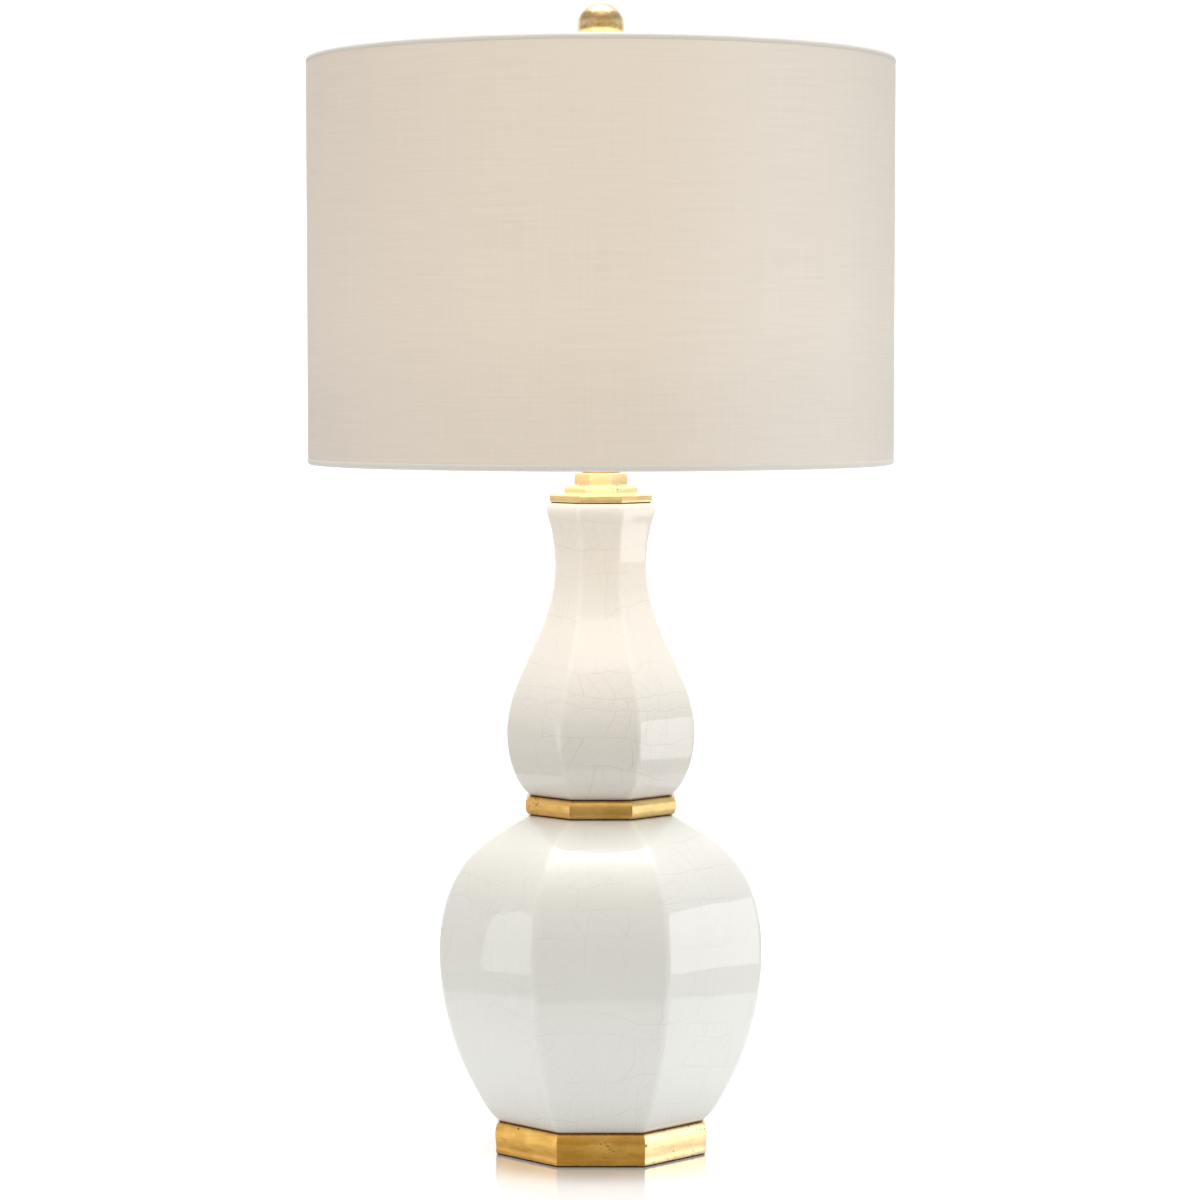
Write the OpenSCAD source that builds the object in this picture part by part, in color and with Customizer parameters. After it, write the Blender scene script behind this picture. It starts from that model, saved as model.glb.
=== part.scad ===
// Table lamp with an eight-sided double-gourd body: a glazed ceramic jar, a gilded
// band, a glazed ceramic gourd, a stepped gilded cap, and a drum shade carried on a
// harp and held by a ball finial. Millimetres, +Z up, origin on the table under the
// centre of the base. Flat sides face +X, -X, +Y and -Y. The cord outlet is at +Y.
// Screw threads are drawn as plain cylinders.

/* [Shade] */
// Outside diameter of the drum shade
shade_d = 431.8; // [425:0.1:440]
// Height of the drum shade over its rolled edges
shade_h = 296.9; // [290:0.1:300]
// How far the spider's hub sits below the top edge
spider_drop = 13.5; // [12:0.1:15]

/* [Ceramic body] */
// Width across flats of the lower jar at its widest
jar_w = 235.6; // [230:0.2:242]
// Height of the lower jar
jar_h = 225.2; // [218:0.2:232]
// Width across flats of the upper gourd at its widest
gourd_w = 137.6; // [132:0.2:144]
// Height of the upper gourd
gourd_h = 215; // [208:1:222]
// Wall thickness of the ceramic
wall = 6; // [4:0.5:7]

/* [Gilded parts] */
// Width across flats of the plinth at its widest
plinth_w = 155.6; // [152:0.2:160]
// Height of the plinth's top edge above the table
plinth_h = 24.2; // [22:0.1:27]
// Width across flats of the waist band at its widest
band_w = 110.6; // [108:0.2:114]
// Height of the waist band
band_h = 13.4; // [12:0.1:15]
// Width across flats of the cap's bottom step
cap_w = 75; // [72:0.5:77]
// Diameter of the ball finial
finial_d = 35; // [34:0.5:38]

/* [Fittings] */
// Height of the harp from the saddle to the seat under the spider
harp_h = 254; // [250:1:258]
// Distance between the harp's two legs at the saddle
leg_gap = 56; // [54:0.5:60]
// Diameter of the harp's wire
harp_wire_d = 3; // [2.6:0.1:3.2]
// Diameter of the brass socket shell
socket_d = 35; // [34:0.5:38]
// Diameter of the bulb at its widest
bulb_d = 60; // [55:1:62]
// Diameter of the hole in the cord bushing
cord_hole_d = 7.2; // [6:0.1:7.4]

/* [Hidden] */

$fn = 96;
e = 0.01;
felt_t = 1.2;
foot_gap = 1.0;      // gasket between plinth and jar
waist_gap = 0.8;     // gaskets at the waist and the neck

// Heights of the stack, from the table up
jar_z0 = plinth_h + foot_gap;
jar_z1 = jar_z0 + jar_h;
band_z0 = jar_z1 + waist_gap;
band_z1 = band_z0 + band_h;
gourd_z0 = band_z1 + waist_gap;
gourd_z1 = gourd_z0 + gourd_h;
cap_z0 = gourd_z1 + waist_gap;
step1 = 5.8;
step2 = 6.3;
step3 = 9.2;
cap_z1 = cap_z0 + step1 + step2 + step3;
collar_h = 7;
shade_z0 = cap_z1 + 6.1;
shade_z1 = shade_z0 + shade_h;
seat_z = shade_z1 - spider_drop;
strip_t = 1.6;
saddle_z = seat_z - harp_h;
locknut_t = 3;
socket_z = saddle_z + locknut_t;

pipe_r = 5;
pipe_bore_r = 3.4;
gold = [0.83, 0.66, 0.31];
glaze = [0.93, 0.92, 0.88];
linen = [0.88, 0.83, 0.76];
brass = [0.72, 0.58, 0.33];
steel = [0.62, 0.62, 0.60];
fibre = [0.30, 0.20, 0.12];

// ---------- shapes shared by several pieces ----------

// A smooth curve through points: k short chords between each pair
function mix(p, q, t) = p * (1 - t) + q * t;
function knot(p, i) = i < 0 ? 2 * p[0] - p[1]
    : i >= len(p) ? 2 * p[len(p) - 1] - p[len(p) - 2] : p[i];
function through(p, i, t) =
    let (a = knot(p, i - 1), b = knot(p, i), c = knot(p, i + 1), d = knot(p, i + 2))
    0.5 * (2 * b + (c - a) * t + (2 * a - 5 * b + 4 * c - d) * t * t
           + (3 * b - a - 3 * c + d) * t * t * t);
function smooth_curve(p, k) = concat(
    [for (i = [0 : len(p) - 2], j = [0 : k - 1]) through(p, i, j / k)],
    [p[len(p) - 1]]);

// The same wall profile, moved inwards by t square to the surface
function slope(p, i) =
    let (a = p[max(i - 1, 0)], b = p[min(i + 1, len(p) - 1)])
    (b[1] - a[1]) / max(b[0] - a[0], 0.01);
function inner_wall(p, t, z0, z1) =
    [for (i = [0 : len(p) - 1])
        if (p[i][0] >= z0 && p[i][0] <= z1)
            [p[i][0], p[i][1] - t * sqrt(1 + pow(min(abs(slope(p, i)), 1.6), 2))]];

// Eight-sided solid whose half width across flats is p[i][1] at height p[i][0]
module eight_sided(p) {
    n = len(p);
    reach = 3 * max([for (q = p) q[1]]);
    outline = concat([for (q = p) [q[1], q[0]]],
                     [for (i = [n - 1 : -1 : 0]) [-p[i][1], p[i][0]]]);
    intersection_for (s = [0 : 3])
        rotate([0, 0, 45 * s]) rotate([90, 0, 0])
            linear_extrude(height = reach, center = true) polygon(outline);
}

// Flat eight-sided plate, w across flats
module eight_plate(w, z, t) {
    translate([0, 0, z]) rotate([0, 0, 22.5])
        cylinder(h = t, r = w / 2 / cos(22.5), $fn = 8);
}

module ring(r_out, r_in, z, h) {
    translate([0, 0, z]) difference() {
        cylinder(h = h, r = r_out);
        translate([0, 0, -1]) cylinder(h = h + 2, r = r_in);
    }
}

module hex_nut(flats, bore_r, z, t) {
    translate([0, 0, z]) difference() {
        cylinder(h = t, r = flats / 2 / cos(30), $fn = 6);
        translate([0, 0, -1]) cylinder(h = t + 2, r = bore_r);
    }
}

// Thin gasket: eight-sided outside, round hole inside
module gasket_plate(w, z, t, hole_r) {
    color(fibre) difference() {
        eight_plate(w, z, t);
        translate([0, 0, z - 1]) cylinder(h = t + 2, r = hole_r);
    }
}

// ---------- base ----------

module felt_pad() {
    color([0.22, 0.20, 0.18]) eight_plate(plinth_w - 4, 0, felt_t);
}

// Half width of the plinth's moulding at each height: flared foot, cove, rounded side
plinth_top_in = 2.2;
plinth_curve = smooth_curve([
    [felt_t, -0.9], [2.6, -0.5], [4.6, -0.8], [6.8, -1.1], [9.2, -0.6], [12, -0.15],
    [15, 0], [18, -0.25], [21, -0.9], [23, -1.6], [plinth_h, -plinth_top_in]], 2);
bush_z = 8.4;
cavity_r_flat = 64;
deck_z = 15;         // underside of the plinth's top deck

module plinth() {
    color(gold) difference() {
        eight_sided([for (q = plinth_curve) [q[0], plinth_w / 2 + q[1]]]);
        eight_plate(2 * cavity_r_flat, 0, deck_z);
        cylinder(h = plinth_h + 10, r = pipe_r + 0.3);
        translate([0, cavity_r_flat - 4, bush_z]) rotate([-90, 0, 0])
            cylinder(h = 30, r = 5.2);
    }
}

module cord_bushing() {
    color([0.10, 0.09, 0.08]) translate([0, cavity_r_flat - 1.6, bush_z])
        rotate([-90, 0, 0]) difference() {
            union() {
                cylinder(h = 1.5, r = 6.4);
                cylinder(h = plinth_w / 2 - cavity_r_flat + 1.8, r = 5.1);
                translate([0, 0, plinth_w / 2 - cavity_r_flat + 1.7])
                    cylinder(h = 1.6, r1 = 6.6, r2 = 5.6);
            }
            translate([0, 0, -1]) cylinder(h = 40, r = cord_hole_d / 2);
        }
}

module base_washer() { color(steel) ring(22, pipe_r + 0.2, deck_z - 1.6, 1.6); }

module base_nut() { color(steel) hex_nut(17, pipe_r + 0.05, deck_z - 6, 4.4); }

module lamp_pipe() { color(steel) ring(pipe_r, pipe_bore_r, 6, socket_z + 8 - 6); }

// ---------- ceramic body ----------

// Height above the foot and half width, at full size, of the lower jar
jar_points = [[0, 75], [2.8, 78.4], [6.6, 81.8], [14.8, 86.7], [26, 92.6],
              [40, 99.4], [56, 105.8], [74, 111.1], [94, 115.4], [118, 117.8],
              [142, 117.3], [162, 113.9], [177, 108.9], [190, 101.5], [201, 91.9],
              [209, 81.6], [215, 71.8], [220.2, 62], [223, 56.6], [225.2, 52.4]];
// The same for the upper gourd
gourd_points = [[0, 51.6], [2, 54.2], [5, 57], [11, 60.8], [19, 64.2], [30, 67.3],
                [44, 68.8], [58, 68.2], [72, 65.3], [86, 60.2], [101, 53.4],
                [116, 46.6], [130, 40.9], [143, 36.8], [156, 34.5], [170, 33.5],
                [182, 34.1], [193, 35.6], [202, 37.8], [207.5, 39.6], [211, 40.4],
                [213.6, 40.2], [215, 39.2]];
function sized(p, w, h, z) =
    let (tall = p[len(p) - 1][0], wide = 2 * max([for (q = p) q[1]]))
    [for (q = p) [z + q[0] * h / tall, q[1] * w / wide]];
jar_curve = smooth_curve(sized(jar_points, jar_w, jar_h, jar_z0), 2);
gourd_curve = smooth_curve(sized(gourd_points, gourd_w, gourd_h, gourd_z0), 2);
waist_mouth_r = 30;
neck_mouth_r = 23;

module lower_jar() {
    color(glaze) difference() {
        eight_sided(jar_curve);
        eight_sided(inner_wall(jar_curve, wall, jar_z0 + 8, jar_z1 - 6));
        translate([0, 0, jar_z0 - 1]) cylinder(h = 12, r = 7);
        translate([0, 0, jar_z1 - 10]) cylinder(h = 12, r = waist_mouth_r);
    }
}

module upper_gourd() {
    color(glaze) difference() {
        eight_sided(gourd_curve);
        eight_sided(inner_wall(gourd_curve, wall, gourd_z0 + 6, gourd_z1 - 6));
        translate([0, 0, gourd_z0 - 1]) cylinder(h = 10, r = waist_mouth_r);
        translate([0, 0, gourd_z1 - 10]) cylinder(h = 12, r = neck_mouth_r);
    }
}

module foot_gasket() { gasket_plate(plinth_w - 6.4, plinth_h, foot_gap, 7); }
module waist_gasket_lower() { gasket_plate(band_w - 7.6, jar_z1, waist_gap, waist_mouth_r); }
module waist_gasket_upper() { gasket_plate(band_w - 8.4, band_z1, waist_gap, waist_mouth_r); }
module neck_gasket() { gasket_plate(cap_w - 2.4, gourd_z1, waist_gap, neck_mouth_r); }

// ---------- gilded band, cap and collar ----------

module waist_band() {
    h = band_h;
    w = band_w / 2;
    half = [[0, w - 3.2], [0.5, w - 2.2], [1.5, w - 1.2], [3, w - 0.4], [5, w]];
    p = concat([for (q = half) [band_z0 + q[0], q[1]]],
               [for (i = [len(half) - 1 : -1 : 0]) [band_z1 - half[i][0], half[i][1]]]);
    color(gold) difference() {
        union() {
            eight_sided(p);
            translate([0, 0, band_z0 - 4]) cylinder(h = h + 8, r = waist_mouth_r - 1.5);
        }
        translate([0, 0, band_z0 - 5]) cylinder(h = h + 10, r = pipe_r + 0.3);
    }
}

module stepped_cap() {
    a = cap_w / 2;
    z1 = cap_z0 + step1;
    z2 = z1 + step2;
    color(gold) difference() {
        union() {
            eight_sided([[cap_z0, a - 0.7], [cap_z0 + 0.7, a], [z1 - 0.7, a],
                         [z1, a - 0.7]]);
            eight_sided([[z1 - 0.5, a - 10.3], [z1 + 2, a - 10.5],
                         [z2 - 1.6, a - 11.3], [z2, a - 12.4]]);
            eight_sided([[z2 - 0.5, a - 18], [z2 + 3, a - 18.2],
                         [cap_z1 - 1.8, a - 19], [cap_z1 - 0.5, a - 19.8],
                         [cap_z1, a - 20.6]]);
            translate([0, 0, cap_z0 - 5]) cylinder(h = 6, r = neck_mouth_r - 0.8);
        }
        translate([0, 0, cap_z0 - 6]) cylinder(h = 60, r = pipe_r + 0.3);
    }
}

module neck_collar() {
    color(gold) difference() {
        eight_sided([[cap_z1, 13.6], [cap_z1 + 0.6, 14.3],
                     [cap_z1 + collar_h - 0.8, 14.3], [cap_z1 + collar_h, 13.5]]);
        translate([0, 0, cap_z1 - 1]) cylinder(h = 20, r = pipe_r + 0.3);
    }
}

module riser_tube() {
    z0 = cap_z1 + collar_h;
    color(brass) difference() {
        translate([0, 0, z0]) union() {
            cylinder(h = saddle_z - strip_t - z0, r = 8);
            cylinder(h = 2, r = 10);
            translate([0, 0, saddle_z - strip_t - z0 - 2]) cylinder(h = 2, r = 9.5);
        }
        translate([0, 0, z0 - 1]) cylinder(h = 60, r = pipe_r + 0.3);
    }
}

// ---------- harp ----------

leg_x = leg_gap / 2;
wire_r = harp_wire_d / 2;
post_r = 1.4;
post_x = leg_x + wire_r + post_r + 0.1;
post_h = 12;
wire_top = seat_z - 2 - wire_r;
// One side of the harp, from the saddle: straight leg, outward bend, straight,
// shoulder bend, straight, top bend, straight to the stud
out_a = 19;
in_a = 14;
bend1 = 45;
bend2 = 90;
bend3 = 24;
run0 = 36;
run1 = 75;
run2 = (wire_top - (saddle_z + 0.2) - run0 - bend1 * sin(out_a) - run1 * cos(out_a)
        - bend2 * (sin(out_a) + sin(in_a)) - bend3 * (1 - sin(in_a))) / cos(in_a);
reach_x = leg_x + bend1 * (1 - cos(out_a)) + run1 * sin(out_a)
        + bend2 * (cos(in_a) - cos(out_a)) - run2 * sin(in_a) - bend3 * cos(in_a);

// Straight length, then the rest starts at its end
module wire_run(len) { cylinder(h = len, r = wire_r); translate([0, 0, len]) children(); }
// Bend of radius r by angle a, towards +X for side = 1 and towards -X for side = -1.
// Drawn a hair thinner and lapped into the straights on both sides of it.
module wire_bend(r, a, side) {
    lap = 0.2 / r * 180 / PI;
    translate([side * r, 0, 0]) rotate([0, -side * lap, 0]) rotate([90, 0, 0])
        mirror([side > 0 ? 1 : 0, 0, 0])
        rotate_extrude(angle = a + 2 * lap) translate([r, 0]) circle(r = wire_r - 0.04);
    translate([side * r, 0, 0]) rotate([0, side * a, 0]) translate([-side * r, 0, 0])
        children();
}

module harp_wire() {
    color(brass) {
        for (m = [0, 1]) mirror([m, 0, 0]) translate([leg_x, 0, saddle_z + 0.2])
            wire_run(run0) wire_bend(bend1, out_a, 1) wire_run(run1)
                wire_bend(bend2, out_a + in_a, -1) wire_run(run2)
                    wire_bend(bend3, 90 - in_a, -1);
        translate([-reach_x, 0, wire_top]) rotate([0, 90, 0])
            cylinder(h = 2 * reach_x, r = wire_r);
    }
}

// Flat brass strip with two upright posts beside the harp's legs
module harp_saddle() {
    color(brass) difference() {
        union() {
            translate([0, 0, saddle_z - strip_t]) intersection() {
                translate([-post_x - 3, -6, 0]) cube([2 * post_x + 6, 12, strip_t]);
                cylinder(h = strip_t, r = post_x + 3);
            }
            for (s = [-1, 1]) translate([s * post_x, 0, saddle_z - strip_t])
                cylinder(h = post_h + strip_t, r = post_r);
        }
        translate([0, 0, saddle_z - 5]) cylinder(h = 10, r = pipe_r + 0.2);
    }
}

module saddle_locknut() { color(brass) hex_nut(16, pipe_r + 0.05, saddle_z, locknut_t); }

// Seat disc and screw on top of the harp
module harp_stud() {
    color(brass) {
        translate([0, 0, seat_z - 2]) cylinder(h = 2, r = 7);
        translate([0, 0, seat_z - 0.5]) cylinder(h = 9.5, r = 3.1);
    }
}

// Flat-sided sleeve that locks a harp leg to its post
module slot_shape(r) {
    translate([leg_x, 0]) circle(r = r);
    translate([post_x, 0]) circle(r = r);
    translate([leg_x, -r]) square([post_x - leg_x, 2 * r]);
}
module ferrule() {
    translate([0, 0, saddle_z + 0.6]) linear_extrude(height = 14) difference() {
        slot_shape(wire_r + 1.1);
        slot_shape(wire_r + 0.3);
    }
}
module ferrule_right() { color(brass) ferrule(); }
module ferrule_left() { color(brass) mirror([1, 0, 0]) ferrule(); }

// ---------- socket and switch ----------

sr = socket_d / 2;
shell_z = socket_z + 15;
shell_top = socket_z + 65;
switch_z = socket_z + 22;

// Dished brass cap that screws on to the pipe
module socket_cap() {
    color(brass) rotate_extrude() polygon([
        [pipe_r + 0.05, socket_z], [8, socket_z], [9, socket_z + 2.5],
        [sr - 4.6, socket_z + 5], [sr - 1.2, socket_z + 10], [sr + 0.3, socket_z + 15],
        [sr + 0.3, socket_z + 18], [sr - 0.2, socket_z + 18],
        [sr - 0.2, socket_z + 15.2], [sr - 2, socket_z + 11], [sr - 5.2, socket_z + 6.2],
        [8.4, socket_z + 4], [pipe_r + 0.05, socket_z + 4]]);
}

module socket_shell() {
    color(brass) difference() {
        translate([0, 0, shell_z]) rotate_extrude() polygon([
            [sr - 0.9, 0.6], [sr - 0.3, 0.6], [sr - 0.3, 12], [sr - 0.3, 42],
            [sr - 0.3, 46], [sr + 0.5, 47], [sr + 0.5, 48], [sr - 0.3, 49],
            [sr - 0.3, 50], [sr - 0.9, 50]]);
        translate([0, 0, switch_z]) rotate([90, 0, 0]) cylinder(h = 40, r = 3.4);
    }
}

module socket_insulator() {
    color([0.75, 0.70, 0.60]) difference() {
        ring(sr - 1.1, sr - 1.7, shell_z - 1, 49);
        translate([0, 0, switch_z]) rotate([90, 0, 0]) cylinder(h = 40, r = 3.2);
    }
}

// Moulded block that carries the switch and the contacts
module socket_body() {
    color([0.12, 0.11, 0.10]) difference() {
        translate([0, 0, socket_z + 9]) union() {
            cylinder(h = 5, r = sr - 6.4);
            translate([0, 0, 4.9]) cylinder(h = 21.1, r = sr - 2);
        }
        translate([0, 0, switch_z]) rotate([90, 0, 0]) cylinder(h = 40, r = 2.2);
        for (s = [-1, 1]) translate([s * (sr - 2), 0, socket_z + 18.5])
            rotate([0, 90, 0]) cylinder(h = 7, r = 3.4, center = true);
    }
}

module terminal_screws() {
    color(brass) for (s = [-1, 1]) translate([s * (sr - 5.5), 0, socket_z + 18.5])
        rotate([0, s * 90, 0]) cylinder(h = 2.4, r = 2.6);
}

bulb_z = socket_z + 37.2;
cap_r = 13;

module socket_screw_shell() {
    color(brass) difference() {
        translate([0, 0, socket_z + 35.2]) cylinder(h = 27, r = cap_r + 0.8);
        translate([0, 0, socket_z + 35.8]) cylinder(h = 30, r = cap_r + 0.3);
        translate([0, 0, socket_z + 34]) cylinder(h = 5, r = 6);
    }
}

// Springy centre tongue
module socket_contact() {
    color(brass) {
        translate([-2.5, -3, socket_z + 35.1]) cube([5, 8, 0.5]);
        translate([-2, -2.2, socket_z + 35.5]) cube([4, 4.4, 1.2]);
    }
}

module switch_stem() {
    color(brass) translate([0, -6, switch_z]) rotate([90, 0, 0])
        cylinder(h = 26, r = 1.8);
}

// Turn knob: round boss with a flat paddle
module switch_knob() {
    color([0.10, 0.09, 0.08]) difference() {
        translate([0, 0, switch_z]) rotate([90, 0, 0]) union() {
            translate([0, 0, 21.5]) cylinder(h = 8, r = 4.2);
            translate([0, 0, 26]) linear_extrude(height = 13) union() {
                translate([-5, -1.6]) square([10, 3.2]);
                translate([-5, 0]) circle(r = 1.6);
                translate([5, 0]) circle(r = 1.6);
            }
        }
        translate([0, -20, switch_z]) rotate([90, 0, 0]) cylinder(h = 12, r = 1.8);
    }
}

// ---------- bulb ----------

cap_top = bulb_z + 26;
br = bulb_d / 2;

module bulb_cap() {
    color([0.75, 0.75, 0.74]) translate([0, 0, bulb_z]) rotate_extrude() polygon([
        [6.2, 2.2], [9.5, 3.4], [11.6, 5], [cap_r - 0.2, 7], [cap_r, 8], [cap_r, 25.4],
        [cap_r - 0.3, 26], [cap_r - 0.6, 26], [cap_r - 0.6, 8.2], [11.2, 5.6],
        [9.2, 4], [6.2, 2.9]]);
}

module bulb_insulator() {
    color([0.08, 0.07, 0.07]) translate([0, 0, bulb_z])
        rotate_extrude() polygon([[2.3, 0.6], [4, 0.6], [6.1, 2.0], [6.1, 3.0], [2.3, 3.0]]);
}

module bulb_tip() {
    color([0.75, 0.75, 0.74]) translate([0, 0, bulb_z]) union() {
        cylinder(h = 1.2, r1 = 1.6, r2 = 2.2);
        translate([0, 0, 1.1]) cylinder(h = 1.9, r = 2.2);
    }
}

bulb_points = [[0, 12.1], [5, 12.1], [9, 13], [16, 15.4], [25, 19.6], [33, 23.9],
               [41, 27.4], [50, 29.6], [57, 30], [65, 28.9], [73, 25.5], [80, 19.6],
               [85, 12.2], [87.4, 5.2], [88, 0]];

bulb_wall = 0.9;
// Thin envelope, open at the neck inside the metal cap
module bulb_glass() {
    curve = [for (q = smooth_curve(bulb_points, 3)) [q[0], max(q[1], 0) * br / 30]];
    n = len(curve);
    inner = [for (i = [0 : n - 2])
        let (a = curve[max(i - 1, 0)], b = curve[min(i + 1, n - 1)],
             d = b - a, l = norm(d))
        [curve[i][1] - bulb_wall * d[0] / l, curve[i][0] + bulb_wall * d[1] / l]];
    outer = [for (q = curve) [q[1], q[0]]];
    color([0.97, 0.96, 0.93, 0.9]) translate([0, 0, bulb_z + 22])
        rotate_extrude() polygon(concat(outer, [[0, curve[n - 1][0] - bulb_wall]],
            [for (i = [n - 2 : -1 : 0]) if (inner[i][0] > 0.3) inner[i]]));
}

// ---------- shade ----------

R = shade_d / 2;
roll = 2.95;         // outside radius of the rolled edge
hem = 0.7;           // thickness of the fabric
rim_r = 1.8;         // radius of the wire rings

module shade_fabric() {
    color(linen) ring(R, R - hem, shade_z0 + roll, shade_h - 2 * roll);
}

module shade_liner() {
    color([0.95, 0.94, 0.91]) ring(R - 0.8, R - 1.4, shade_z0 + 3.1, shade_h - 6.2);
}

// Fabric turned over the wire ring and down inside
function arc_points(r, a0, a1, n) =
    [for (i = [0 : n]) let (t = a0 + (a1 - a0) * i / n) [R - roll + r * cos(t), r * sin(t)]];
module edge_roll() {
    rotate_extrude() polygon(concat(
        arc_points(roll, 0, 180, 16),
        [[R - 2 * roll, -8], [R - 2 * roll + hem, -8]],
        arc_points(roll - hem, 180, 0, 16)));
}
// The top roll is cut round the three spider arms
module shade_trim_top() {
    color(linen) difference() {
        translate([0, 0, shade_z1 - roll]) edge_roll();
        for (a = arm_angles) rotate([0, 0, a])
            translate([R - 9, -2.2, ring_z - 5]) cube([4.2, 4.4, 7]);
    }
}
module shade_trim_bottom() {
    color(linen) translate([0, 0, shade_z0 + roll]) mirror([0, 0, 1]) edge_roll();
}

module wire_ring(z) {
    color(brass) translate([0, 0, z]) rotate_extrude() translate([R - 3.35, 0])
        circle(r = rim_r);
}
module shade_ring_top() { wire_ring(shade_z1 - 3.8); }
module shade_ring_bottom() { wire_ring(shade_z0 + 3.8); }

// Three wire arms: level from the hub, then up to the top ring
arm_angles = [90, 210, 330];
arm_r = 1.6;
hub_z = seat_z + 0.1;
hub_t = 1.2;
arm_z = hub_z + hub_t + arm_r;
arm_bend = R - 16;
arm_end = R - 3.35 - rim_r - 0.1;
ring_z = shade_z1 - 3.8;
rise_a = atan2(ring_z - arm_z, arm_end - arm_bend);
rise_l = sqrt(pow(ring_z - arm_z, 2) + pow(arm_end - arm_bend, 2));
module spider_arms() {
    color(brass) for (a = arm_angles) rotate([0, 0, a])
        translate([0, 0, arm_z]) union() {
            translate([7, 0, 0]) rotate([0, 90, 0]) cylinder(h = arm_bend - 7, r = arm_r);
            translate([arm_bend, 0, 0]) sphere(r = arm_r);
            translate([arm_bend, 0, 0]) rotate([0, 90 - rise_a, 0])
                cylinder(h = rise_l, r = arm_r);
        }
}

module spider_hub() { color(brass) ring(14, 3.5, hub_z, hub_t); }

// ---------- finial ----------

nut_z = hub_z + hub_t + 0.1;
ball_r = finial_d / 2;
ball_z = shade_z1 + 23.3;
collar_r = 7;
neck_top = ball_z - sqrt(ball_r * ball_r - collar_r * collar_r);
insert_h = 12;

// Threaded brass sleeve pressed into the neck
module finial_insert() {
    color(brass) difference() {
        translate([0, 0, nut_z]) cylinder(h = insert_h, r = 4);
        translate([0, 0, nut_z - 1]) cylinder(h = insert_h - 0.6, r = 3.2);
    }
}

// Turned neck: foot flange, waist, collar under the ball, and a peg into the ball
module finial_neck() {
    t = neck_top - nut_z;
    color(gold) difference() {
        translate([0, 0, nut_z]) rotate_extrude() polygon([
            [0, 0.3], [5.7, 0.3], [6, 0.6], [6, 2.2], [5.6, 2.8], [5.1, 3.6], [5, 6],
            [5.2, t - 5], [6.2, t - 2.6], [collar_r, t - 1.6], [collar_r, t - 0.1],
            [3.9, t - 0.1], [3.9, t + 5], [0, t + 5]]);
        translate([0, 0, nut_z - 1]) cylinder(h = insert_h + 1.2, r = 4.1);
    }
}

module finial_ball() {
    color(gold) difference() {
        translate([0, 0, ball_z]) sphere(r = ball_r);
        translate([0, 0, neck_top - 20]) cylinder(h = 20, r = 12);
        translate([0, 0, neck_top - 1]) cylinder(h = 6.4, r = 4.1);
    }
}

// ---------- all pieces ----------

felt_pad();
plinth();
cord_bushing();
base_nut();
base_washer();
lamp_pipe();
foot_gasket();
lower_jar();
waist_gasket_lower();
waist_band();
waist_gasket_upper();
upper_gourd();
neck_gasket();
stepped_cap();
neck_collar();
riser_tube();
harp_saddle();
saddle_locknut();
harp_wire();
harp_stud();
ferrule_left();
ferrule_right();
socket_cap();
socket_shell();
socket_insulator();
socket_body();
socket_screw_shell();
socket_contact();
terminal_screws();
switch_stem();
switch_knob();
bulb_cap();
bulb_insulator();
bulb_tip();
bulb_glass();
shade_fabric();
shade_liner();
shade_trim_top();
shade_trim_bottom();
shade_ring_top();
shade_ring_bottom();
spider_arms();
spider_hub();
finial_insert();
finial_neck();
finial_ball();
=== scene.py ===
import math

import bpy
from mathutils import Matrix, Vector, noise

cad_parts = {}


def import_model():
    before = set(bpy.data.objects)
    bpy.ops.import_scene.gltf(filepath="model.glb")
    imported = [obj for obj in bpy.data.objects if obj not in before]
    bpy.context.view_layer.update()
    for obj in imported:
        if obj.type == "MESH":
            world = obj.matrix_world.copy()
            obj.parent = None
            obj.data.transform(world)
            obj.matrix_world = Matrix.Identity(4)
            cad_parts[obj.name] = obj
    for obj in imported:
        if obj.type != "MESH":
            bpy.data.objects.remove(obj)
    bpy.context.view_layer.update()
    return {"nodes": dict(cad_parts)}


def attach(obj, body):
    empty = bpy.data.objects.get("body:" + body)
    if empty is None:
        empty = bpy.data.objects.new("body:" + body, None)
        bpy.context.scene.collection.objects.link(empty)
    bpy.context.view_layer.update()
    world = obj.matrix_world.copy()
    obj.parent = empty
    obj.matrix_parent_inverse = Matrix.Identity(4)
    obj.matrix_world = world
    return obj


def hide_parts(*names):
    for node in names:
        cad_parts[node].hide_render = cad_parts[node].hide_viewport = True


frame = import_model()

MM = 0.001
TAU = 2 * math.pi
T225 = math.tan(math.radians(22.5))
C225 = math.cos(math.radians(22.5))

# ------------------------------------------------------------------ sizes, in mm
PLINTH_A, PLINTH_TOP = 77.8, 24.2
JAR_Z0, JAR_Z1 = 25.2, 250.4
BAND_Z0, BAND_Z1, BAND_A = 251.2, 264.6, 55.3
GOURD_Z0, GOURD_Z1 = 265.4, 480.4
CAP_Z0, CAP_A = 481.2, 37.5
CAP_1, CAP_2, CAP_Z1 = 487.0, 493.3, 502.5
COLLAR_Z1 = 509.5
SHADE_R, SHADE_Z0, SHADE_Z1 = 215.9, 508.6, 805.5
ROLL = 2.95
SADDLE_Z, SEAT_Z = 538.0, 792.0
SOCKET_Z = 541.0
SWITCH_Z = 563.0
BULB_Z = 578.2
HUB_Z = 792.1
BALL_Z, BALL_R = 828.8, 17.5
NUT_Z = 793.4

# ------------------------------------------------------------------ small maths


def clamp(x, a=0.0, b=1.0):
    return a if x < a else b if x > b else x


def smooth(x, a, b):
    t = clamp((x - a) / (b - a))
    return t * t * (3 - 2 * t)


def lerp(a, b, t):
    return a + (b - a) * t


def n3(x, y, z, seed=0.0):
    """Smooth noise, about -1 to 1, of a place given in mm already scaled."""
    return noise.noise(Vector((x + 17.3 * seed, y - 9.1 * seed, z + 4.7 * seed)))


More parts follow.
